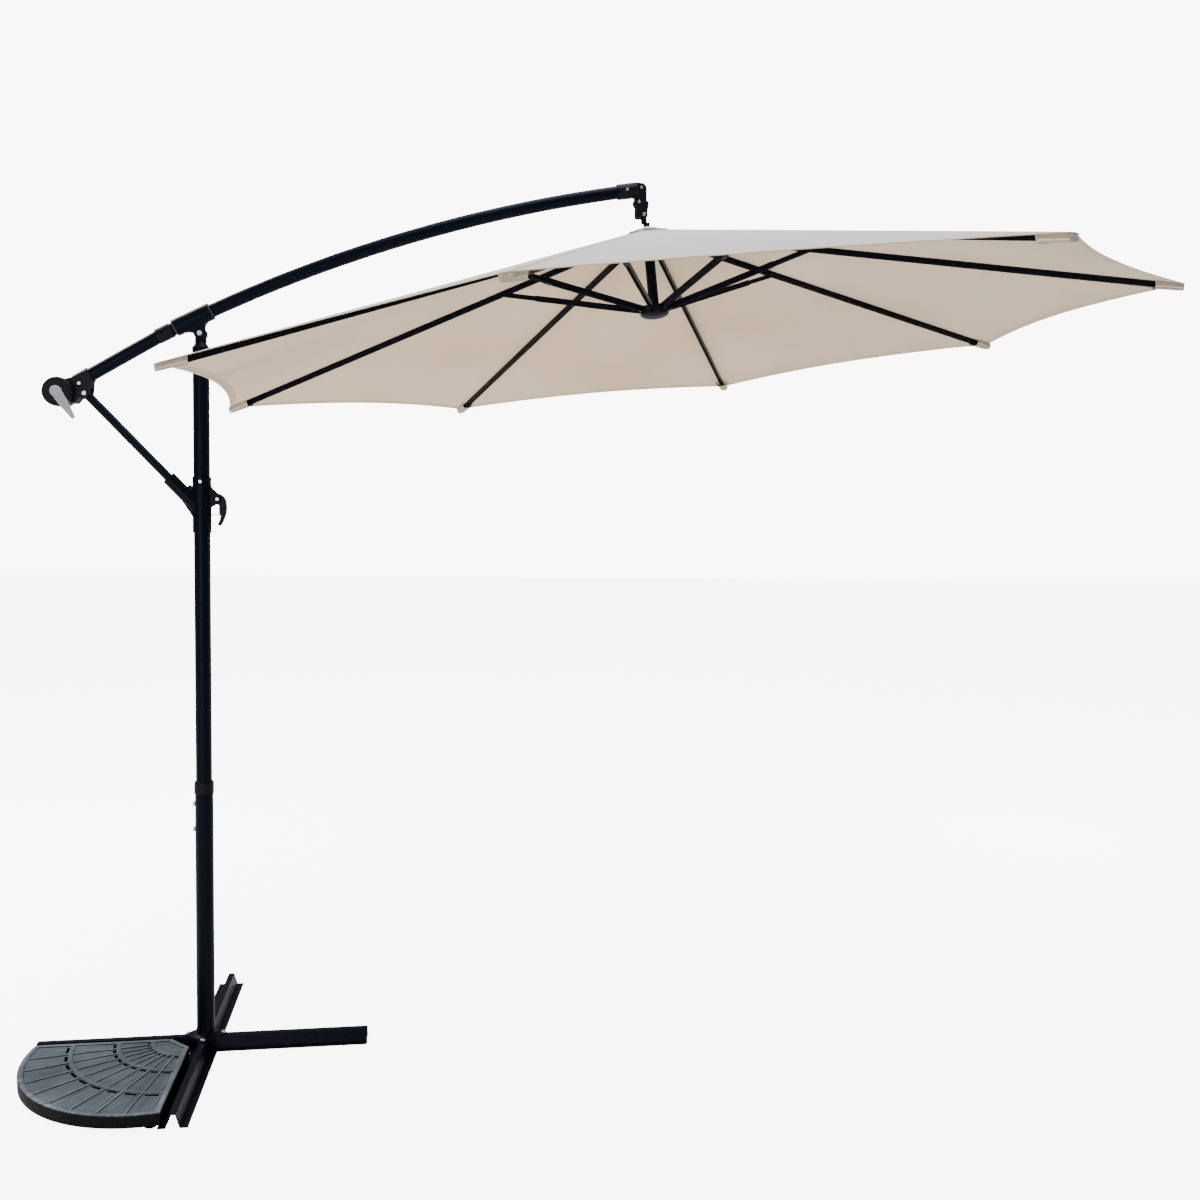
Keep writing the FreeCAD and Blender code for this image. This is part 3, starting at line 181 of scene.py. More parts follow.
def make_world():
    """White backdrop for the camera and a dim studio, brightest overhead, for what the object reflects."""
    world = bpy.data.worlds.new("studio")
    world.use_nodes = True
    tree = world.node_tree
    room = tree.nodes["Background"]
    room.inputs["Strength"].default_value = ROOM_STRENGTH
    place = tree.nodes.new("ShaderNodeTexCoord")
    parts = tree.nodes.new("ShaderNodeSeparateXYZ")
    ramp = tree.nodes.new("ShaderNodeValToRGB")
    shift = tree.nodes.new("ShaderNodeMapRange")
    shift.inputs["From Min"].default_value = -1.0
    tree.links.new(place.outputs["Generated"], parts.inputs["Vector"])
    tree.links.new(parts.outputs["Z"], shift.inputs["Value"])
    tree.links.new(shift.outputs["Result"], ramp.inputs["Fac"])
    ramp.color_ramp.elements[0].position = 0.5
    ramp.color_ramp.elements[0].color = (0.30, 0.31, 0.34, 1.0)
    ramp.color_ramp.elements[1].position = 0.95
    ramp.color_ramp.elements[1].color = (0.88, 0.94, 1.0, 1.0)
    tree.links.new(ramp.outputs["Color"], room.inputs["Color"])
    backdrop = tree.nodes.new("ShaderNodeBackground")
    backdrop.inputs["Color"].default_value = (1.0, 1.0, 1.0, 1.0)
    backdrop.inputs["Strength"].default_value = BACKDROP_STRENGTH
    path = tree.nodes.new("ShaderNodeLightPath")
    mix = tree.nodes.new("ShaderNodeMixShader")
    tree.links.new(path.outputs["Is Camera Ray"], mix.inputs["Fac"])
    tree.links.new(room.outputs["Background"], mix.inputs[1])
    tree.links.new(backdrop.outputs["Background"], mix.inputs[2])
    tree.links.new(mix.outputs["Shader"], tree.nodes["World Output"].inputs["Surface"])
    bpy.context.scene.world = world


def make_stage():
    make_world()
    mesh = bpy.data.meshes.new("floor")
    half = 30.0
    corners = [(-half, -half, 0), (half, -half, 0), (half, half, 0), (-half, half, 0)]
    mesh.from_pydata(corners, [], [(0, 1, 2, 3)])
    floor = bpy.data.objects.new("floor", mesh)
    bpy.context.collection.objects.link(floor)
    paint = new_material("studio_floor")
    nodes = Nodes(paint)
    nodes.set("Base Color", (0.90, 0.90, 0.90, 1.0))
    nodes.set("Roughness", 0.9)
    nodes.set("Emission Color", (1.0, 1.0, 1.0, 1.0))
    path = nodes.add("ShaderNodeLightPath")
    glow = nodes.math("MULTIPLY", path.outputs["Is Camera Ray"], FLOOR_GLOW)
    nodes.link(glow, nodes.shader.inputs["Emission Strength"])
    floor.data.materials.append(paint)
    area_light("key", (-3.2, 2.6, 5.6), (0.4, 0.0, 2.2), (2.6, 2.6), 620, (1.0, 0.95, 0.88))
    area_light("sky", (1.8, -0.4, 7.0), (1.0, 0.0, 2.2), (5.0, 5.0), 520, (0.84, 0.90, 1.0))
    area_light("front", (-1.6, -5.5, 1.6), (0.6, 0.0, 2.0), (3.0, 2.0), 110, (1.0, 0.95, 0.88))
    area_light("strip", (4.4, 2.4, 1.3), (0.0, 0.0, 1.2), (0.4, 2.2), 26, (1.0, 0.99, 0.97))


# ---- materials ----


def new_material(name):
    paint = bpy.data.materials.new(name)
    paint.use_nodes = True
    return paint


class Nodes:
    """Short calls that wire a material around its Principled shader."""

    def __init__(self, paint):
        self.tree = paint.node_tree
        self.shader = self.tree.nodes["Principled BSDF"]
        self.output = self.tree.nodes["Material Output"]

    def add(self, kind, **values):
        node = self.tree.nodes.new(kind)
        for name, value in values.items():
            if hasattr(node, name):
                setattr(node, name, value)
            else:
                node.inputs[name.replace("_", " ").title()].default_value = value
        return node

    def link(self, source, target):
        self.tree.links.new(source, target)

    def set(self, socket, value):
        self.shader.inputs[socket].default_value = value

    def where(self):
        return self.add("ShaderNodeTexCoord").outputs["Object"]

    def noise(self, scale, detail=3.0, stretch=None):
        texture = self.add("ShaderNodeTexNoise", scale=scale, detail=detail)
        source = self.where()
        if stretch:
            mapping = self.add("ShaderNodeMapping")
            mapping.inputs["Scale"].default_value = stretch
            self.link(source, mapping.inputs["Vector"])
            source = mapping.outputs["Vector"]
        self.link(source, texture.inputs["Vector"])
        return texture.outputs["Fac"]

    def ramp(self, source, stops):
        node = self.add("ShaderNodeValToRGB")
        while len(node.color_ramp.elements) < len(stops):
            node.color_ramp.elements.new(0.5)
        for element, (place, color) in zip(node.color_ramp.elements, stops):
            element.position = place
            element.color = color if len(color) == 4 else (*color, 1.0)
        self.link(source, node.inputs["Fac"])
        return node.outputs["Color"]

    def spread(self, source, low, high):
        node = self.add("ShaderNodeMapRange")
        node.inputs["To Min"].default_value = low
        node.inputs["To Max"].default_value = high
        self.link(source, node.inputs["Value"])
        return node.outputs["Result"]

    def math(self, operation, first, second=None):
        node = self.add("ShaderNodeMath", operation=operation)
        for socket, value in ((node.inputs[0], first), (node.inputs[1], second)):
            if value is None:
                continue
            if isinstance(value, (int, float)):
                socket.default_value = value
            else:
                self.link(value, socket)
        return node.outputs[0]

    def bump(self, height, strength, distance, below=None):
        node = self.add("ShaderNodeBump")
        node.inputs["Strength"].default_value = strength
        node.inputs["Distance"].default_value = distance
        self.link(height, node.inputs["Height"])
        if below is not None:
            self.link(below, node.inputs["Normal"])
        return node.outputs["Normal"]

    def scaled(self, color, factor):
        """Colour multiplied by another colour."""
        mix = self.add("ShaderNodeMix", data_type="RGBA", blend_type="MULTIPLY")
        mix.inputs["Factor"].default_value = 1.0
        self.link(color, mix.inputs["A"])
        self.link(factor, mix.inputs["B"])
        return mix.outputs["Result"]

    def worn_edges(self, base, edge, width=0.0015):
        """Base colour that turns to the edge colour along sharp edges."""
        rounded = self.add("ShaderNodeBevel", samples=6)
        rounded.inputs["Radius"].default_value = width
        geometry = self.add("ShaderNodeNewGeometry")
        facing = self.add("ShaderNodeVectorMath", operation="DOT_PRODUCT")
        self.link(rounded.outputs["Normal"], facing.inputs[0])
        self.link(geometry.outputs["Normal"], facing.inputs[1])
        bare = self.math("SUBTRACT", 1.0, facing.outputs["Value"])
        amount = self.spread(self.math("MULTIPLY", bare, 5.0), 0.0, 0.8)
        mix = self.add("ShaderNodeMix", data_type="RGBA")
        self.link(amount, mix.inputs["Factor"])
        self.link(base, mix.inputs["A"])
        mix.inputs["B"].default_value = edge
        return mix.outputs["Result"], rounded.outputs["Normal"]


def powder_coat():
    """Semi-gloss near-black coat with a fine orange-peel surface."""
    paint = new_material("powder_coat")
    nodes = Nodes(paint)
    tone = nodes.ramp(
        nodes.noise(3.0, 4.0), [(0.3, (0.0012, 0.0020, 0.0055)), (0.75, (0.0026, 0.0038, 0.0085))]
    )
    color, rounded = nodes.worn_edges(tone, (0.018, 0.022, 0.032, 1.0))
    nodes.link(color, nodes.shader.inputs["Base Color"])
    nodes.link(nodes.spread(nodes.noise(60.0, 2.0), 0.30, 0.42), nodes.shader.inputs["Roughness"])
    nodes.set("Specular IOR Level", 0.08)
    nodes.set("Specular Tint", (0.62, 0.78, 1.0, 1.0))
    peel = nodes.bump(nodes.noise(900.0, 1.0), 0.18, 0.0004, rounded)
    nodes.link(peel, nodes.shader.inputs["Normal"])
    return paint


def moulded_plastic(name, low, high, roughness, grain=1400.0):
    """Moulded plastic with a spark-eroded grain."""
    paint = new_material(name)
    nodes = Nodes(paint)
    tone = nodes.ramp(nodes.noise(7.0, 4.0), [(0.3, low), (0.7, high)])
    lighter = tuple(min(1.0, value * 2.2 + 0.004) for value in high) + (1.0,)
    color, rounded = nodes.worn_edges(tone, lighter, 0.001)
    nodes.link(color, nodes.shader.inputs["Base Color"])
    nodes.link(
        nodes.spread(nodes.noise(90.0, 2.0), roughness - 0.06, roughness + 0.06),
        nodes.shader.inputs["Roughness"],
    )
    nodes.set("Specular IOR Level", 0.12)
    nodes.link(nodes.bump(nodes.noise(grain, 1.0), 0.2, 0.0003, rounded), nodes.shader.inputs["Normal"])
    return paint


def zinc_plate():
    """Bright zinc with fine turning marks and small dark spots."""
    paint = new_material("zinc_plate")
    nodes = Nodes(paint)
    tone = nodes.ramp(nodes.noise(220.0, 4.0), [(0.25, (0.42, 0.43, 0.45)), (0.6, (0.74, 0.75, 0.77))])
    nodes.link(tone, nodes.shader.inputs["Base Color"])
    nodes.set("Metallic", 1.0)
    nodes.link(nodes.spread(nodes.noise(400.0, 2.0), 0.2, 0.38), nodes.shader.inputs["Roughness"])
    rounded = nodes.add("ShaderNodeBevel", samples=6)
    rounded.inputs["Radius"].default_value = 0.001
    nodes.link(
        nodes.bump(nodes.noise(1500.0, 1.0), 0.15, 0.0002, rounded.outputs["Normal"]),
        nodes.shader.inputs["Normal"],
    )
    return paint


def resin(fan):
    """Cast slate-blue resin: radial wood grain, pits and worn pale edges, with painted light and shade: a painted
    highlight on what stands proud, painted shade in its recesses, slots and side walls.
    """
    paint = new_material("resin_weight")
    nodes = Nodes(paint)
    tone = nodes.ramp(
        nodes.noise(7.0, 6.0),
        [(0.25, (0.060, 0.077, 0.098)), (0.5, (0.098, 0.120, 0.147)), (0.8, (0.155, 0.180, 0.21))],
    )
    streak = grain_lines(nodes, fan)
    shade = nodes.ramp(
        streak,
        [(0.34, (0.38, 0.39, 0.41)), (0.52, (0.92, 0.92, 0.92)), (0.70, (1.7, 1.7, 1.7))],
    )
    mix = nodes.add("ShaderNodeMix", data_type="RGBA", blend_type="MULTIPLY")
    mix.inputs["Factor"].default_value = 0.7
    nodes.link(tone, mix.inputs["A"])
    nodes.link(shade, mix.inputs["B"])
    worn, rounded = nodes.worn_edges(mix.outputs["Result"], (0.30, 0.33, 0.36, 1.0), 0.0016)
    # Multiplied by painted light and shade, taken from the relief's depth and slope.
    color = nodes.scaled(worn, painted_light_and_shade(nodes, fan))
    nodes.link(color, nodes.shader.inputs["Base Color"])
    nodes.link(nodes.spread(nodes.noise(40.0, 3.0), 0.5, 0.72), nodes.shader.inputs["Roughness"])
    nodes.set("Specular IOR Level", 0.12)
    grooves = nodes.bump(streak, 0.35, 0.0008, rounded)
    pits = nodes.bump(nodes.noise(420.0, 4.0), 0.35, 0.0006, grooves)
    nodes.link(pits, nodes.shader.inputs["Normal"])
    return paint


def painted_light_and_shade(nodes, fan):
    """Painted light and shade by height and slope: a painted highlight on rib tops, painted shade in recesses,
    darker painted shade in slots and on side walls.
    """
    parts = nodes.add("ShaderNodeSeparateXYZ")
    nodes.link(nodes.where(), parts.inputs["Vector"])
    depth = nodes.math("SUBTRACT", fan.top, parts.outputs["Z"])
    # Painted by depth below the top: a painted highlight on what stands proud, painted shade on the recess floors,
    # dark painted shade lines on the walls between, near-black painted shade in the slots.
    level = nodes.ramp(
        nodes.math("MULTIPLY", depth, 100.0),
        [
            (0.0, (1.05, 1.05, 1.05)), (0.025, (1.02, 1.02, 1.02)), (0.04, (0.76, 0.76, 0.76)),
            (0.07, (0.76, 0.76, 0.76)), (0.12, (0.26, 0.26, 0.27)), (0.22, (0.34, 0.34, 0.35)),
            (0.27, (0.72, 0.72, 0.73)), (0.42, (0.04, 0.04, 0.05)),
        ],
    )
    # Painted shade: faces that turn away from up, the slab's side walls, are darkened to near black.
    geometry = nodes.add("ShaderNodeNewGeometry")
    facing = nodes.add("ShaderNodeSeparateXYZ")
    nodes.link(geometry.outputs["True Normal"], facing.inputs["Vector"])
    flat = nodes.ramp(facing.outputs["Z"], [(0.25, (0.02, 0.024, 0.034)), (0.8, (1.0, 1.0, 1.0))])
    return nodes.scaled(level, flat)


def grain_lines(nodes, fan):
    """Noise drawn out along lines that run from the fan's inner corner."""
    parts = nodes.add("ShaderNodeSeparateXYZ")
    nodes.link(nodes.where(), parts.inputs["Vector"])
    x = nodes.math("SUBTRACT", parts.outputs["X"], fan.corner.x)
    y = nodes.math("SUBTRACT", parts.outputs["Y"], fan.corner.y)
    turn = nodes.math("ARCTAN2", y, x)
    squares = nodes.math("ADD", nodes.math("MULTIPLY", x, x), nodes.math("MULTIPLY", y, y))
    radius = nodes.math("SQRT", squares)
    place = nodes.add("ShaderNodeCombineXYZ")
    nodes.link(nodes.math("MULTIPLY", turn, 95.0), place.inputs["X"])
    nodes.link(nodes.math("MULTIPLY", radius, 9.0), place.inputs["Y"])
    texture = nodes.add("ShaderNodeTexNoise", scale=1.0, detail=5.0)
    nodes.link(place.outputs["Vector"], texture.inputs["Vector"])
    return texture.outputs["Fac"]


def woven(name, low, high, glow, sheen=0.25, dashes=False):
    """Plain-weave polyester that lets some light through; dashes adds two rows of stitches."""
    paint = new_material(name)
    nodes = Nodes(paint)
    blotch = nodes.ramp(nodes.noise(2.2, 5.0), [(0.3, low), (0.7, high)])
    threads = []
    for stretch in ((1400.0, 60.0, 60.0), (60.0, 1400.0, 60.0)):
        threads.append(nodes.noise(1.0, 1.0, stretch))
    weave = nodes.math("ADD", threads[0], threads[1])
    average = nodes.math("MULTIPLY", weave, 0.5)
    shade = nodes.ramp(average, [(0.3, (0.90, 0.90, 0.90)), (0.7, (1.0, 1.0, 1.0))])
    mix = nodes.add("ShaderNodeMix", data_type="RGBA", blend_type="MULTIPLY")
    mix.inputs["Factor"].default_value = 1.0
    nodes.link(blotch, mix.inputs["A"])
    nodes.link(shade, mix.inputs["B"])
    color = mix.outputs["Result"]
    nodes.set("Roughness", 0.85)
    nodes.set("Specular IOR Level", 0.25)
    nodes.set("Sheen Weight", sheen)
    nodes.set("Sheen Roughness", 0.5)
    creases = nodes.math("ADD", nodes.noise(16.0, 5.0), nodes.noise(3.2, 3.0, (1.0, 2.6, 1.0)))
    normal = nodes.bump(creases, 0.26, 0.010)
    normal = nodes.bump(weave, 0.25, 0.0004, normal)
    if dashes:
        color, normal = stitches(nodes, color, normal)
    nodes.link(color, nodes.shader.inputs["Base Color"])
    nodes.link(normal, nodes.shader.inputs["Normal"])
    through = nodes.add("ShaderNodeBsdfTranslucent")
    nodes.link(color, through.inputs["Color"])
    blend = nodes.add("ShaderNodeMixShader")
    blend.inputs["Fac"].default_value = glow
    nodes.link(nodes.shader.outputs["BSDF"], blend.inputs[1])
    nodes.link(through.outputs["BSDF"], blend.inputs[2])
    nodes.link(blend.outputs["Shader"], nodes.output.inputs["Surface"])
    return paint


def stitches(nodes, color, normal):
    """Two rows of thread dashes along a band whose UV runs u along it and v from 0 to 1 across."""
    uv = nodes.add("ShaderNodeUVMap").outputs["UV"]
    parts = nodes.add("ShaderNodeSeparateXYZ")
    nodes.link(uv, parts.inputs["Vector"])
    along = nodes.math("FRACT", nodes.math("MULTIPLY", parts.outputs["X"], 250.0))
    dash = nodes.math("LESS_THAN", along, 0.68)
    rows = None
    for row in (0.18, 0.82):
        near = nodes.math("ABSOLUTE", nodes.math("SUBTRACT", parts.outputs["Y"], row))
        line = nodes.math("LESS_THAN", near, 0.035)
        rows = line if rows is None else nodes.math("MAXIMUM", rows, line)
    thread = nodes.math("MULTIPLY", rows, dash)
    mix = nodes.add("ShaderNodeMix", data_type="RGBA")
    nodes.link(thread, mix.inputs["Factor"])
    nodes.link(color, mix.inputs["A"])
    mix.inputs["B"].default_value = (0.88, 0.83, 0.74, 1.0)
    return mix.outputs["Result"], nodes.bump(thread, 0.6, 0.0006, normal)


# ---- mesh helpers ----


def new_piece(name, vertices, faces, paints, face_paints=None, smooth=True):
    mesh = bpy.data.meshes.new(name)
    mesh.from_pydata([tuple(v) for v in vertices], [], faces)
    for paint in paints:
        mesh.materials.append(paint)
    if face_paints:
        mesh.polygons.foreach_set("material_index", face_paints)
    mesh.polygons.foreach_set("use_smooth", [smooth] * len(mesh.polygons))
    mesh.update()
    piece = bpy.data.objects.new(name, mesh)
    bpy.context.collection.objects.link(piece)
    return piece


def grid_faces(columns, rows, start=0, flip=False):
    """Quads of a grid whose points are stored row by row."""
    faces = []
    for row in range(rows - 1):
        for column in range(columns - 1):
            a = start + row * columns + column
            quad = (a, a + 1, a + columns + 1, a + columns)
            faces.append(tuple(reversed(quad)) if flip else quad)
    return faces


def ring_faces(first, second, sides):
    """Quads between two rings of points that start at these indices."""
    faces = []
    for step in range(sides):
        after = (step + 1) % sides
        faces.append((first + step, first + after, second + after, second + step))
    return faces


def border(columns, rows):
    """Indices round a grid's edge, in order."""
    line = list(range(columns))
    line += [row * columns + columns - 1 for row in range(1, rows)]
    line += [(rows - 1) * columns + column for column in range(columns - 2, -1, -1)]
    line += [row * columns for row in range(rows - 2, 0, -1)]
    return line


def sheet_piece(name, grid, thickness, paints):
    """Closed thin sheet: the grid is its lower face and its thickness lies along the canopy's up."""
    rows = len(grid)
    columns = len(grid[0])
    inner = [point for row in grid for point in row]
    outer = [point + UP * thickness for point in inner]
    count = len(inner)
    faces = grid_faces(columns, rows, 0, flip=True) + grid_faces(columns, rows, count)
    paint_index = [0] * ((rows - 1) * (columns - 1)) + [1] * ((rows - 1) * (columns - 1))
    line = border(columns, rows)
    for here, there in zip(line, line[1:] + line[:1]):
        faces.append((here, there, there + count, here + count))
        paint_index.append(1)
    sheet = new_piece(name, inner + outer, faces, paints, paint_index)
    sheet.data.set_sharp_from_angle(angle=SHEET_SHARP)
    return sheet


def add_uv(piece, places):
    """Gives every corner the UV of its vertex."""
    layer = piece.data.uv_layers.new(name="UVMap")
    for loop in piece.data.loops:
        layer.data[loop.index].uv = places[loop.vertex_index]


# ---- the cover ----


def edge_radius(angle):
    """Distance of the hem from the canopy's axis; the angle is the one to the nearest rib."""
    tip = RING + RIB_LENGTH * math.cos(RIB_SLOPE) + FABRIC_OVERHANG
    along_chord = math.tan(HALF_STEP - abs(angle)) / math.tan(HALF_STEP)
    middle = tip * math.cos(HALF_STEP) - HEM_SCALLOP * (1 - along_chord**2)
    return middle / math.cos(HALF_STEP - abs(angle))


def cover_height(radius, angle):
    """Underside of the cover above the rib hinges: it dips between ribs and is creased above each."""
    slope = math.tan(RIB_SLOPE)
    top = (RIB_HEIGHT / 2 + FABRIC_LIFT) / math.cos(RIB_SLOPE) + RING * slope
    along = radius * math.cos(HALF_STEP - abs(angle))
    flat = top - slope / math.cos(HALF_STEP) * along
    share = min(1.0, radius / edge_radius(angle))
    across = abs(angle) / HALF_STEP
    dip = PANEL_DIP * math.sin(math.pi * share**1.3) * (math.sin(math.pi * across / 2) ** 2)
    ripple = RIPPLE * math.sin(share * 19.0) * math.sin(math.pi * across) * share**2
    groove = RIB_GROOVE * math.exp(-((abs(angle) * radius / RIB_GROOVE_HALF) ** 2))
    return flat - dip - ripple - groove


def cover_point(number, radius, angle, lift=0.0):
    return canopy_point(radius, rib_azimuth(number) + angle, cover_height(radius, angle) + lift)


def sector_angles(steps):
    """Angles across a sector, closer together near its rib."""
    side = [HALF_STEP * (step / steps) ** 1.35 for step in range(1, steps + 1)]
    return [-angle for angle in reversed(side)] + [0.0] + side


def make_sector(number, paints):
    """One sector of the sewn cover: it rides on its rib."""
    rings = 44
    grid = []
    for ring in range(rings + 1):
        share = (ring / rings) ** 0.92
        row = []
        for angle in sector_angles(14):
            radius = FABRIC_HOLE + (edge_radius(angle) - FABRIC_HOLE) * share
            row.append(cover_point(number, radius, angle))
        grid.append(row)
    return sheet_piece("cover_%d" % number, grid, FABRIC_THICK, paints)


def make_hem(number, paint):
    """Turned hem along the sector's outer edge, on both faces."""
    angles = sector_angles(18)
    grid = []
    places = []
    for step in range(4):
        row = []
        for angle in angles:
            radius = edge_radius(angle) + HEM_PROUD - HEM_BAND * step / 3
            row.append(cover_point(number, radius, angle, -HEM_FOLD))
            places.append((angle * radius, step / 3))
        grid.append(row)
    grid.reverse()
    hem = sheet_piece("hem_%d" % number, grid, FABRIC_THICK + 2 * HEM_FOLD, [paint, paint])
    width = len(angles)
    ordered = []
    for step in range(3, -1, -1):
        ordered += places[step * width:(step + 1) * width]
    add_uv(hem, ordered + ordered)
    return hem


def make_rib_seam(number, paint):
    """Flat-felled seam on the cover's top along the rib."""
    grid = []
    places = []
    start = FABRIC_HOLE + SEAM_START
    length = edge_radius(0.0) - SEAM_SHORT - FABRIC_HOLE - SEAM_START
    for step in range(41):
        radius = start + length * step / 40
        row = []
        for side in range(5):
            offset = (side - 2) * SEAM_STEP
            angle = offset / radius
            row.append(cover_point(number, radius, angle, FABRIC_THICK + SEAM_GAP))
            places.append((radius, side / 4))
        grid.append(row)
    seam = sheet_piece("rib_seam_%d" % number, grid, SEAM_THICK, [paint, paint])
    add_uv(seam, places + places)
    return seam


def make_pocket(number, paint):
    """Sewn pocket that wraps the rib's tip below the cover."""
    tip = RING + RIB_LENGTH * math.cos(RIB_SLOPE)
    rows = []
    places = []
    sides = 12
    for step in range(POCKET_ROWS + POCKET_END_ROWS + 1):
        share = min(1.0, step / POCKET_ROWS)
        end = max(0, step - POCKET_ROWS)
        mouth = POCKET_MOUTH if step == 0 else 0.0
        radius = tip - POCKET_LENGTH + (POCKET_LENGTH + POCKET_PAST_TIP) * share + POCKET_END_STEP * end
        width = POCKET_HALF - POCKET_TAPER * share - POCKET_END_NARROW * end
        depth = POCKET_DEPTH - POCKET_SHRINK * share + mouth - POCKET_END_RISE * end
        row = []
        for side in range(sides + 1):
            turn = math.pi * side / sides
            across = width * math.cos(turn)
            square = min(1.0, POCKET_SQUARE * math.sin(turn))
            angle = across / radius
            row.append(cover_point(number, radius, angle, -POCKET_GAP - depth * square))
            places.append((radius, side / sides))
        rows.append(row)
    pocket = sheet_piece("pocket_%d" % number, rows, POCKET_WALL, [paint, paint])
    add_uv(pocket, places + places)
    return pocket


def crown_wave(turn, share):
    """Unevenness of the crown patch, which grows towards its edge."""
    slow = CROWN_SLOW_WAVE * math.sin(7 * turn + 0.6) * share**3
    return slow + CROWN_FAST_WAVE * math.sin(16 * turn) * share**4


def crown_height(radius):
    """Height of the cover's top at a radius near the middle."""
    return cover_height(radius, 0.0) + FABRIC_THICK + CROWN_SEAT


def make_crown():
    """Round patch with a piped edge, sewn over the cover's middle."""
    cloth = woven("crown_patch", (0.76, 0.70, 0.61), (0.83, 0.775, 0.69), 0.3, dashes=True)
    grid = []
    places = []
    for ring in range(CROWN_RINGS + 1):
        share = ring / CROWN_RINGS
        row = []
        for step in range(CROWN_TURNS + 1):
            turn = 2 * math.pi * step / CROWN_TURNS
            wave = crown_wave(turn, share)
            radius = CROWN_HOLE + (CROWN_R + wave - CROWN_HOLE) * share
            lift = CROWN_LIFT * (1 - share**2) + CROWN_RISE + wave
            row.append(canopy_point(radius, turn, crown_height(radius) + lift))
            places.append((turn * CROWN_R, share * CROWN_UV))
        grid.append(row)
    patch = sheet_piece("crown_patch", grid, CROWN_THICK, [cloth, cloth])
    add_uv(patch, places + places)
    for piece in (patch, make_crown_edge(cloth)):
        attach(piece, "head")
    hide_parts("canopy_cap")


def make_crown_edge(paint):
    """Piped edge of the crown patch."""
    line = []
    for step in range(CROWN_TURNS):
        turn = 2 * math.pi * step / CROWN_TURNS
        wave = crown_wave(turn, 1.0)
        radius = CROWN_R + wave
        line.append(canopy_point(radius, turn, crown_height(radius) + PIPING_RISE + wave))
    return ring_tube("crown_edge", line, PIPING_R, paint)


def ring_tube(name, line, thick, paint):
    """Round cord along a closed line of points."""
    sides = 8
    points = []
    faces = []
    count = len(line)
    for here, point in enumerate(line):
        along = (line[(here + 1) % count] - line[here - 1]).normalized()
        side = along.cross(UP).normalized()
        top = side.cross(along)
        for step in range(sides):
            turn = 2 * math.pi * step / sides
            points.append(point + side * thick * math.cos(turn) + top * thick * math.sin(turn))
    for here in range(count):
        faces += ring_faces(here * sides, (here + 1) % count * sides, sides)
    return new_piece(name, points, faces, [paint])


def make_cover():
    # Two colours for one cloth: the inside is partly the cloth's own beige and partly a painted warm glow of light
    # coming through it; the outside is tinted blue-grey as painted sky light.
    inside = woven("cover_inside", (0.80, 0.615, 0.40), (0.86, 0.675, 0.455), 0.42)
    outside = woven("cover_outside", (0.715, 0.725, 0.75), (0.78, 0.79, 0.81), 0.42)
    sewn = woven("cover_sewn", (0.78, 0.60, 0.39), (0.84, 0.66, 0.445), 0.25, dashes=True)
    pocket_cloth = woven("cover_pocket", (0.44, 0.35, 0.25), (0.53, 0.43, 0.32), 0.15, dashes=True)
    for number in range(1, RIBS + 1):
        sector = make_sector(number, [inside, outside])
        extras = [make_hem(number, sewn), make_rib_seam(number, sewn), make_pocket(number, pocket_cloth)]
        for piece in [sector] + extras:
            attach(piece, "rib_%d" % number)
        for piece in [sector] + extras[:1]:
            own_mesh(piece)
        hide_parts("canopy_%d" % number)


# ---- weight plate ----

WEIGHT_LOW = 0.010
WEIGHT_ROUND = 0.004  # radius of the rounded top edge
WEIGHT_ARC = 0.393
WEIGHT_ARC_CENTER = 0.112
WEIGHT_CUT = 0.062
WEIGHT_BORDER = 0.012
RELIEF_PANELS = 9
RELIEF_DEPTH = 0.0028
RELIEF_BAND = 0.0005
SLOT_DEPTH = 0.012
SLOT_START = 0.002  # from the panel's inner end, as is SLOT_END
SLOT_END = 0.0105
SLOT_WALL = 0.0005
SLOT_CLEAR = 0.002  # flat part of the panel before its next row of points
SLOT_SIDE = 0.12  # share of the panel's width left beside the slot
SLOT_SPAN = 0.70  # share of the panel's width that the slot takes up
SLOT_SHARES = ((0.0, "panel"), (0.05, "slot"), (0.5, "slot"), (0.95, "slot"), (1.0, "panel"))
RIB_HALF = 0.0022
WALL = 0.0012
FAN_END = 0.106
FAN_LAST_ROW = 0.020  # row of points before the fan's end
RELIEF_RINGS = ((0.118, 0.204), (0.216, 0.338), (0.350, None))  # the last ends at the rim
RIM = 0.014
PANEL_SHORT = 0.001  # last row of points before the panel's outer end
PANEL_STEPS = 5
ROUND_STEPS = 5
WEIGHT_DRAFT = 0.0008
WEIGHT_SHARP = math.radians(38)
FOOT_R = 0.017
FOOT_ROUND = 0.0015
FOOT_TURNS = 32
FOOT_INSIDE = 0.061
FOOT_INSET = 0.010
FOOT_PAST_CUT = 0.7  # share of the corner cut
SKIRT = 0.008
SKIRT_LOW = 0.0025
SKIRT_INSET = 0.020
SKIRT_ENDS = 0.120
SKIRT_GAP = 0.0005


class Fan:
    """The fan's outline in polar form round its inner corner, from the CAD node's own box."""

    def __init__(self):
        low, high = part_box("weight_plate")
        self.top = high[2]
        self.edge = high[0]
        self.far = low[0]
        self.arc_center = Vector((-WEIGHT_ARC_CENTER, -WEIGHT_ARC_CENTER, 0))
        self.corner = Vector((self.edge - WEIGHT_ROUND, self.edge - WEIGHT_ROUND, 0))
        self.arc_r = WEIGHT_ARC - WEIGHT_ROUND
        edges = WEIGHT_CUT + 2 * abs(self.edge)
        self.cut = edges + math.sqrt(2) * WEIGHT_ROUND - 2 * abs(self.corner.x)

    def inner(self, turn):
        return self.cut / (math.cos(turn) + math.sin(turn))

    def outer(self, turn):
        heading = Vector((-math.cos(turn), -math.sin(turn), 0))
        gap = self.corner - self.arc_center
        along = gap.dot(heading)
        return -along + math.sqrt(along * along - gap.length_squared + self.arc_r**2)

    def point(self, radius, turn, height):
        return self.corner + Vector((-radius * math.cos(turn), -radius * math.sin(turn), height))


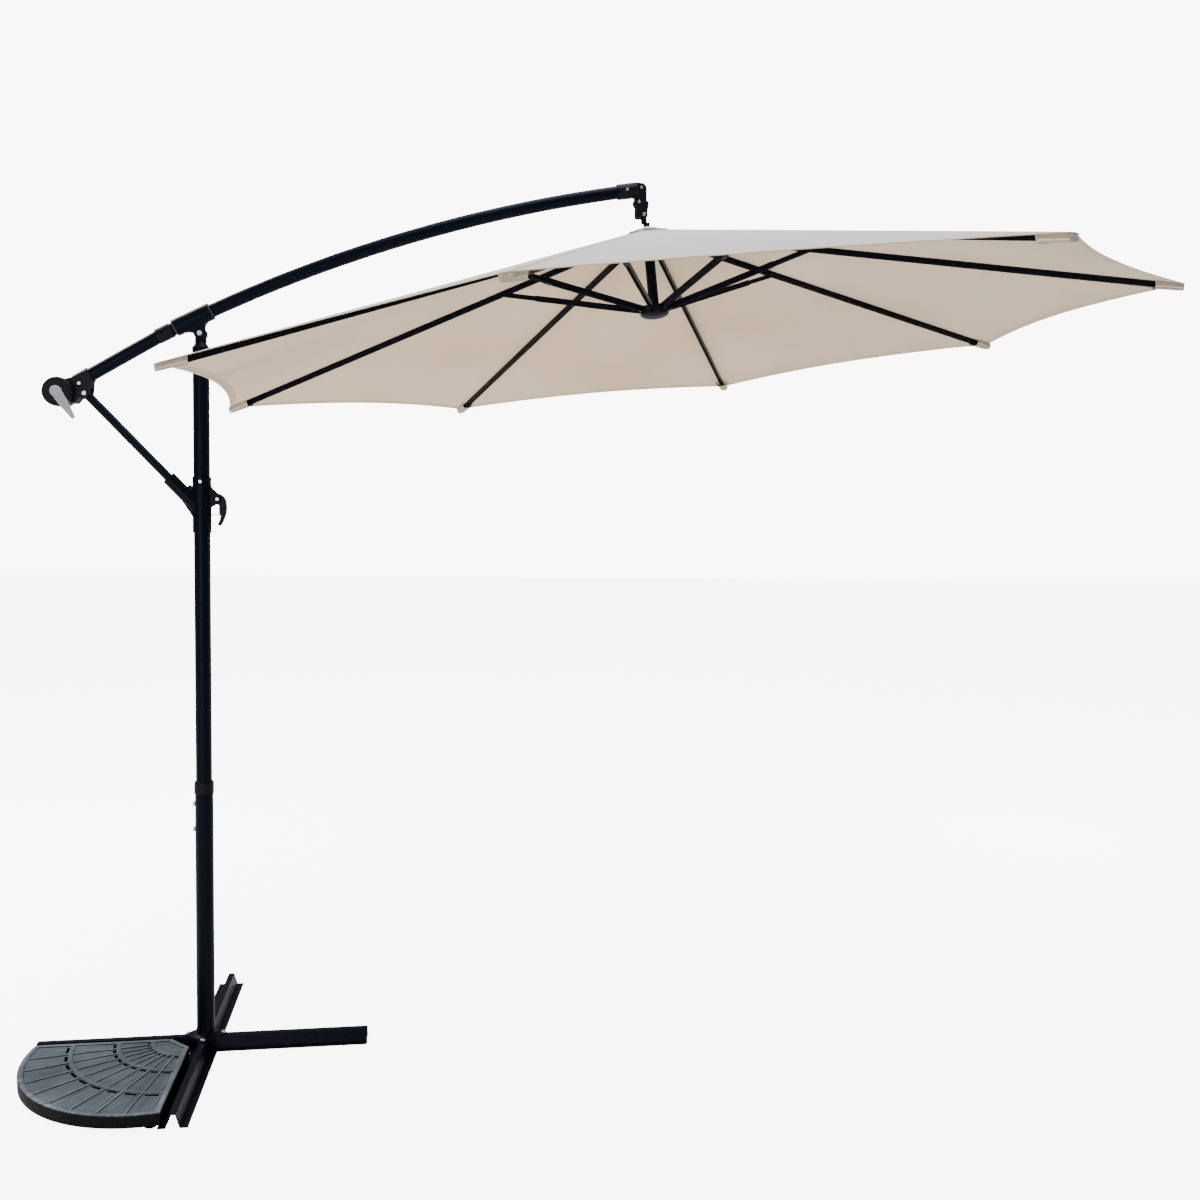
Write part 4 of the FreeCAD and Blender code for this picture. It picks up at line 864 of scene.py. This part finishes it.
def relief_columns(radius):
    """Turns of the grid's columns at one radius, each with its kind: border, rib, panel or slot."""
    first = math.asin(min(0.45, WEIGHT_BORDER / radius))
    width = (math.pi / 2 - 2 * first) / RELIEF_PANELS
    columns = [(0.0, "border"), (first - WALL / radius, "border")]
    rib = RIB_HALF / radius
    wall = WALL / radius
    for panel in range(RELIEF_PANELS):
        start = first + width * panel
        left = start if panel == 0 else start + rib + wall
        right = start + width if panel == RELIEF_PANELS - 1 else start + width - rib - wall
        if panel:
            columns.append((start + rib, "rib"))
        columns.append((left, "panel"))
        span = right - left
        for share, kind in SLOT_SHARES:
            inset = SLOT_SIDE + SLOT_SPAN * share
            columns.append((left + span * inset, kind))
        columns.append((right, "panel"))
        if panel < RELIEF_PANELS - 1:
            columns.append((start + width - rib, "rib"))
    columns.append((math.pi / 2 - first + WALL / radius, "border"))
    columns.append((math.pi / 2, "border"))
    return columns


def relief_rows(inner, outer):
    """Radii from the corner cut to the arc, each with its kind: border, fan, band, panel or slot."""
    fan_start = inner + WEIGHT_BORDER
    rows = [(inner, "border"), (fan_start, "border"), (fan_start + WALL, "fan")]
    rows += [(FAN_END - FAN_LAST_ROW, "fan"), (FAN_END, "fan"), (FAN_END + WALL, "band")]
    for start, end in RELIEF_RINGS:
        end = outer - RIM if end is None else end
        rows += [(start, "band"), (start + WALL, "panel"), (start + SLOT_START, "panel")]
        rows += [(start + SLOT_START + SLOT_WALL, "slot"), (start + SLOT_END, "slot")]
        rows.append((start + SLOT_END + SLOT_WALL, "panel"))
        first = start + SLOT_END + SLOT_CLEAR
        length = end - PANEL_SHORT - first
        for step in range(PANEL_STEPS + 1):
            rows.append((first + length * step / PANEL_STEPS, "panel"))
        rows.append((end + WALL, "band"))
    rows.append((outer, "border"))
    return rows


def relief_height(row_kind, column_kind):
    """Depth of the surface below the rim for one grid point."""
    if "border" in (row_kind, column_kind):
        return 0.0
    if row_kind == "fan":
        return RELIEF_DEPTH
    if row_kind == "band":
        return RELIEF_BAND
    if column_kind == "rib":
        return 0.0
    if row_kind == "slot" and column_kind == "slot":
        return SLOT_DEPTH
    return RELIEF_DEPTH


def weight_outline(fan, grid):
    """Border points of the top grid with their outward directions, mitred at the corners."""
    rows = len(grid)
    columns = len(grid[0])
    root = math.sqrt(0.5)
    cut = [(0, column) for column in range(columns)]
    beside = [(row, columns - 1) for row in range(rows)]
    arc = [(rows - 1, column) for column in range(columns - 1, -1, -1)]
    behind = [(row, 0) for row in range(rows - 1, -1, -1)]
    sides = [
        (cut, lambda p: Vector((root, root, 0))),
        (beside, lambda p: Vector((1, 0, 0))),
        (arc, lambda p: (p - fan.arc_center).normalized()),
        (behind, lambda p: Vector((0, 1, 0))),
    ]
    line = []
    for number, (places, outward) in enumerate(sides):
        before = sides[number - 1][1]
        for place in places[:-1]:
            flat = grid[place[0]][place[1]].copy()
            flat.z = 0
            way = outward(flat)
            if place == places[0]:
                other = before(flat)
                way = (way + other) / (1 + way.dot(other))
            line.append((place[0] * columns + place[1], flat, way))
    return line


def weight_grid(fan):
    """Rows of points of the relief; a column's turn depends on the radius, so each is refined in turn."""
    columns = relief_columns(0.2)
    grid = []
    for row in range(len(relief_rows(fan.inner(0.5), fan.outer(0.5)))):
        line = []
        for column in range(len(columns)):
            turn = columns[column][0]
            for _ in range(3):
                radius, row_kind = relief_rows(fan.inner(turn), fan.outer(turn))[row]
                turn, column_kind = relief_columns(radius)[column]
            line.append(fan.point(radius, turn, fan.top - relief_height(row_kind, column_kind)))
        grid.append(line)
    return grid


def make_weight():
    """The fan weight: slab with recessed panels and slots, its feet and its skirts."""
    fan = Fan()
    grid = weight_grid(fan)
    points = [point for line in grid for point in line]
    faces = grid_faces(len(grid[0]), len(grid), 0, flip=True)
    line = weight_outline(fan, grid)
    last = [place for place, _, _ in line]
    for step in range(1, ROUND_STEPS + 1):
        turn = math.pi / 2 * step / ROUND_STEPS
        out = WEIGHT_ROUND * math.sin(turn)
        drop = WEIGHT_ROUND * (1 - math.cos(turn))
        loop = [flat + way * out + Vector((0, 0, fan.top - drop)) for _, flat, way in line]
        last = add_loop(points, faces, last, loop)
    low_out = WEIGHT_ROUND - WEIGHT_DRAFT
    loop = [flat + way * low_out + Vector((0, 0, WEIGHT_LOW)) for _, flat, way in line]
    last = add_loop(points, faces, last, loop)
    faces.append(tuple(reversed(last)))
    paint = resin(fan)
    slab = new_piece("weight_slab", points, faces, [paint])
    slab.data.set_sharp_from_angle(angle=WEIGHT_SHARP)
    for piece in [slab] + weight_feet(fan, paint) + weight_skirts(fan, paint):
        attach(piece, "weight")
    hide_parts("weight_plate")


def add_loop(points, faces, last, loop):
    """Joins a closed line of new points to the line before it."""
    start = len(points)
    points.extend(loop)
    count = len(loop)
    for here in range(count):
        there = (here + 1) % count
        faces.append((last[here], last[there], start + there, start + here))
    return [start + here for here in range(count)]


def weight_feet(fan, paint):
    """Four round feet that stand on the floor."""
    outside = -fan.far - FOOT_R - FOOT_INSET
    diagonal = -fan.arc_center.x + (WEIGHT_ARC - 2 * FOOT_R) / math.sqrt(2)
    near = FOOT_INSIDE + WEIGHT_CUT * FOOT_PAST_CUT
    spots = [(FOOT_INSIDE, outside), (outside, FOOT_INSIDE), (diagonal, diagonal), (near, near)]
    profile = [(FOOT_R - FOOT_ROUND, 0.0), (FOOT_R, FOOT_ROUND), (FOOT_R, WEIGHT_LOW)]
    feet = []
    for number, (x, y) in enumerate(spots):
        points = []
        faces = []
        for radius, height in profile:
            for step in range(FOOT_TURNS):
                turn = 2 * math.pi * step / FOOT_TURNS
                across = radius * math.cos(turn)
                along = radius * math.sin(turn)
                points.append(Vector((across - x, along - y, height)))
        for ring in range(len(profile) - 1):
            faces += ring_faces(ring * FOOT_TURNS, (ring + 1) * FOOT_TURNS, FOOT_TURNS)
        faces.append(tuple(reversed(range(FOOT_TURNS))))
        faces.append(tuple(range(2 * FOOT_TURNS, 3 * FOOT_TURNS)))
        foot = new_piece("weight_foot_%d" % number, points, faces, [paint])
        foot.data.set_sharp_from_angle(angle=WEIGHT_SHARP)
        feet.append(foot)
    return feet


def weight_skirts(fan, paint):
    """Two strips below the slab's straight edges that stand on the leg flanges."""
    far = fan.far + SKIRT_INSET
    end = far - fan.far - SKIRT_ENDS
    outer = fan.edge - SKIRT
    inner = fan.edge - SKIRT_GAP
    spans = (((far, outer), (end, inner)), ((outer, far), (inner, end)))
    skirts = []
    for number, (low, high) in enumerate(spans):
        corners = ((low[0], low[1]), (high[0], low[1]), (high[0], high[1]), (low[0], high[1]))
        points = [Vector((x, y, z)) for z in (SKIRT_LOW, WEIGHT_LOW) for x, y in corners]
        faces = [(3, 2, 1, 0), (4, 5, 6, 7)] + ring_faces(0, 4, 4)
        skirts.append(new_piece("weight_skirt_%d" % number, points, faces, [paint], smooth=False))
    return skirts


# ---- materials of the CAD nodes ----


def dress(node, paint):
    """Gives a CAD node one material."""
    slots = frame["nodes"][node].data.materials
    if not slots:
        slots.append(paint)
    for index in range(len(slots)):
        frame["nodes"][node].material_slots[index].material = paint


def dress_frame():
    coat = powder_coat()
    black = moulded_plastic("black_plastic", (0.0020, 0.0028, 0.0055), (0.0042, 0.0052, 0.0090), 0.45)
    liner = moulded_plastic("liner_plastic", (0.045, 0.05, 0.06), (0.075, 0.08, 0.092), 0.5)
    grey = moulded_plastic("grey_plastic", (0.30, 0.31, 0.33), (0.42, 0.43, 0.45), 0.38)
    zinc = zinc_plate()
    by_slot = {
        "powder_coat": coat,
        "black_plastic": black,
        "liner_plastic": liner,
        "grey_plastic": grey,
        "zinc": zinc,
    }
    for part in frame["record"]["subparts"]:
        if part["material_slot"] in by_slot:
            dress(part["node"], by_slot[part["material_slot"]])
    paint_far_screws(coat)


def paint_far_screws(coat):
    """The screws away from the crank housing and the elbow are painted like the arm."""
    screws = frame["nodes"]["arm_screws"]
    low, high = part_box("joint_collar")
    screws.data.materials.append(coat)
    index = len(screws.material_slots) - 1
    screws.material_slots[index].material = coat
    for face in screws.data.polygons:
        if low[0] < face.center.x < high[0]:
            face.material_index = index


make_camera()
make_stage()
dress_frame()
make_cover()
make_crown()
make_weight()
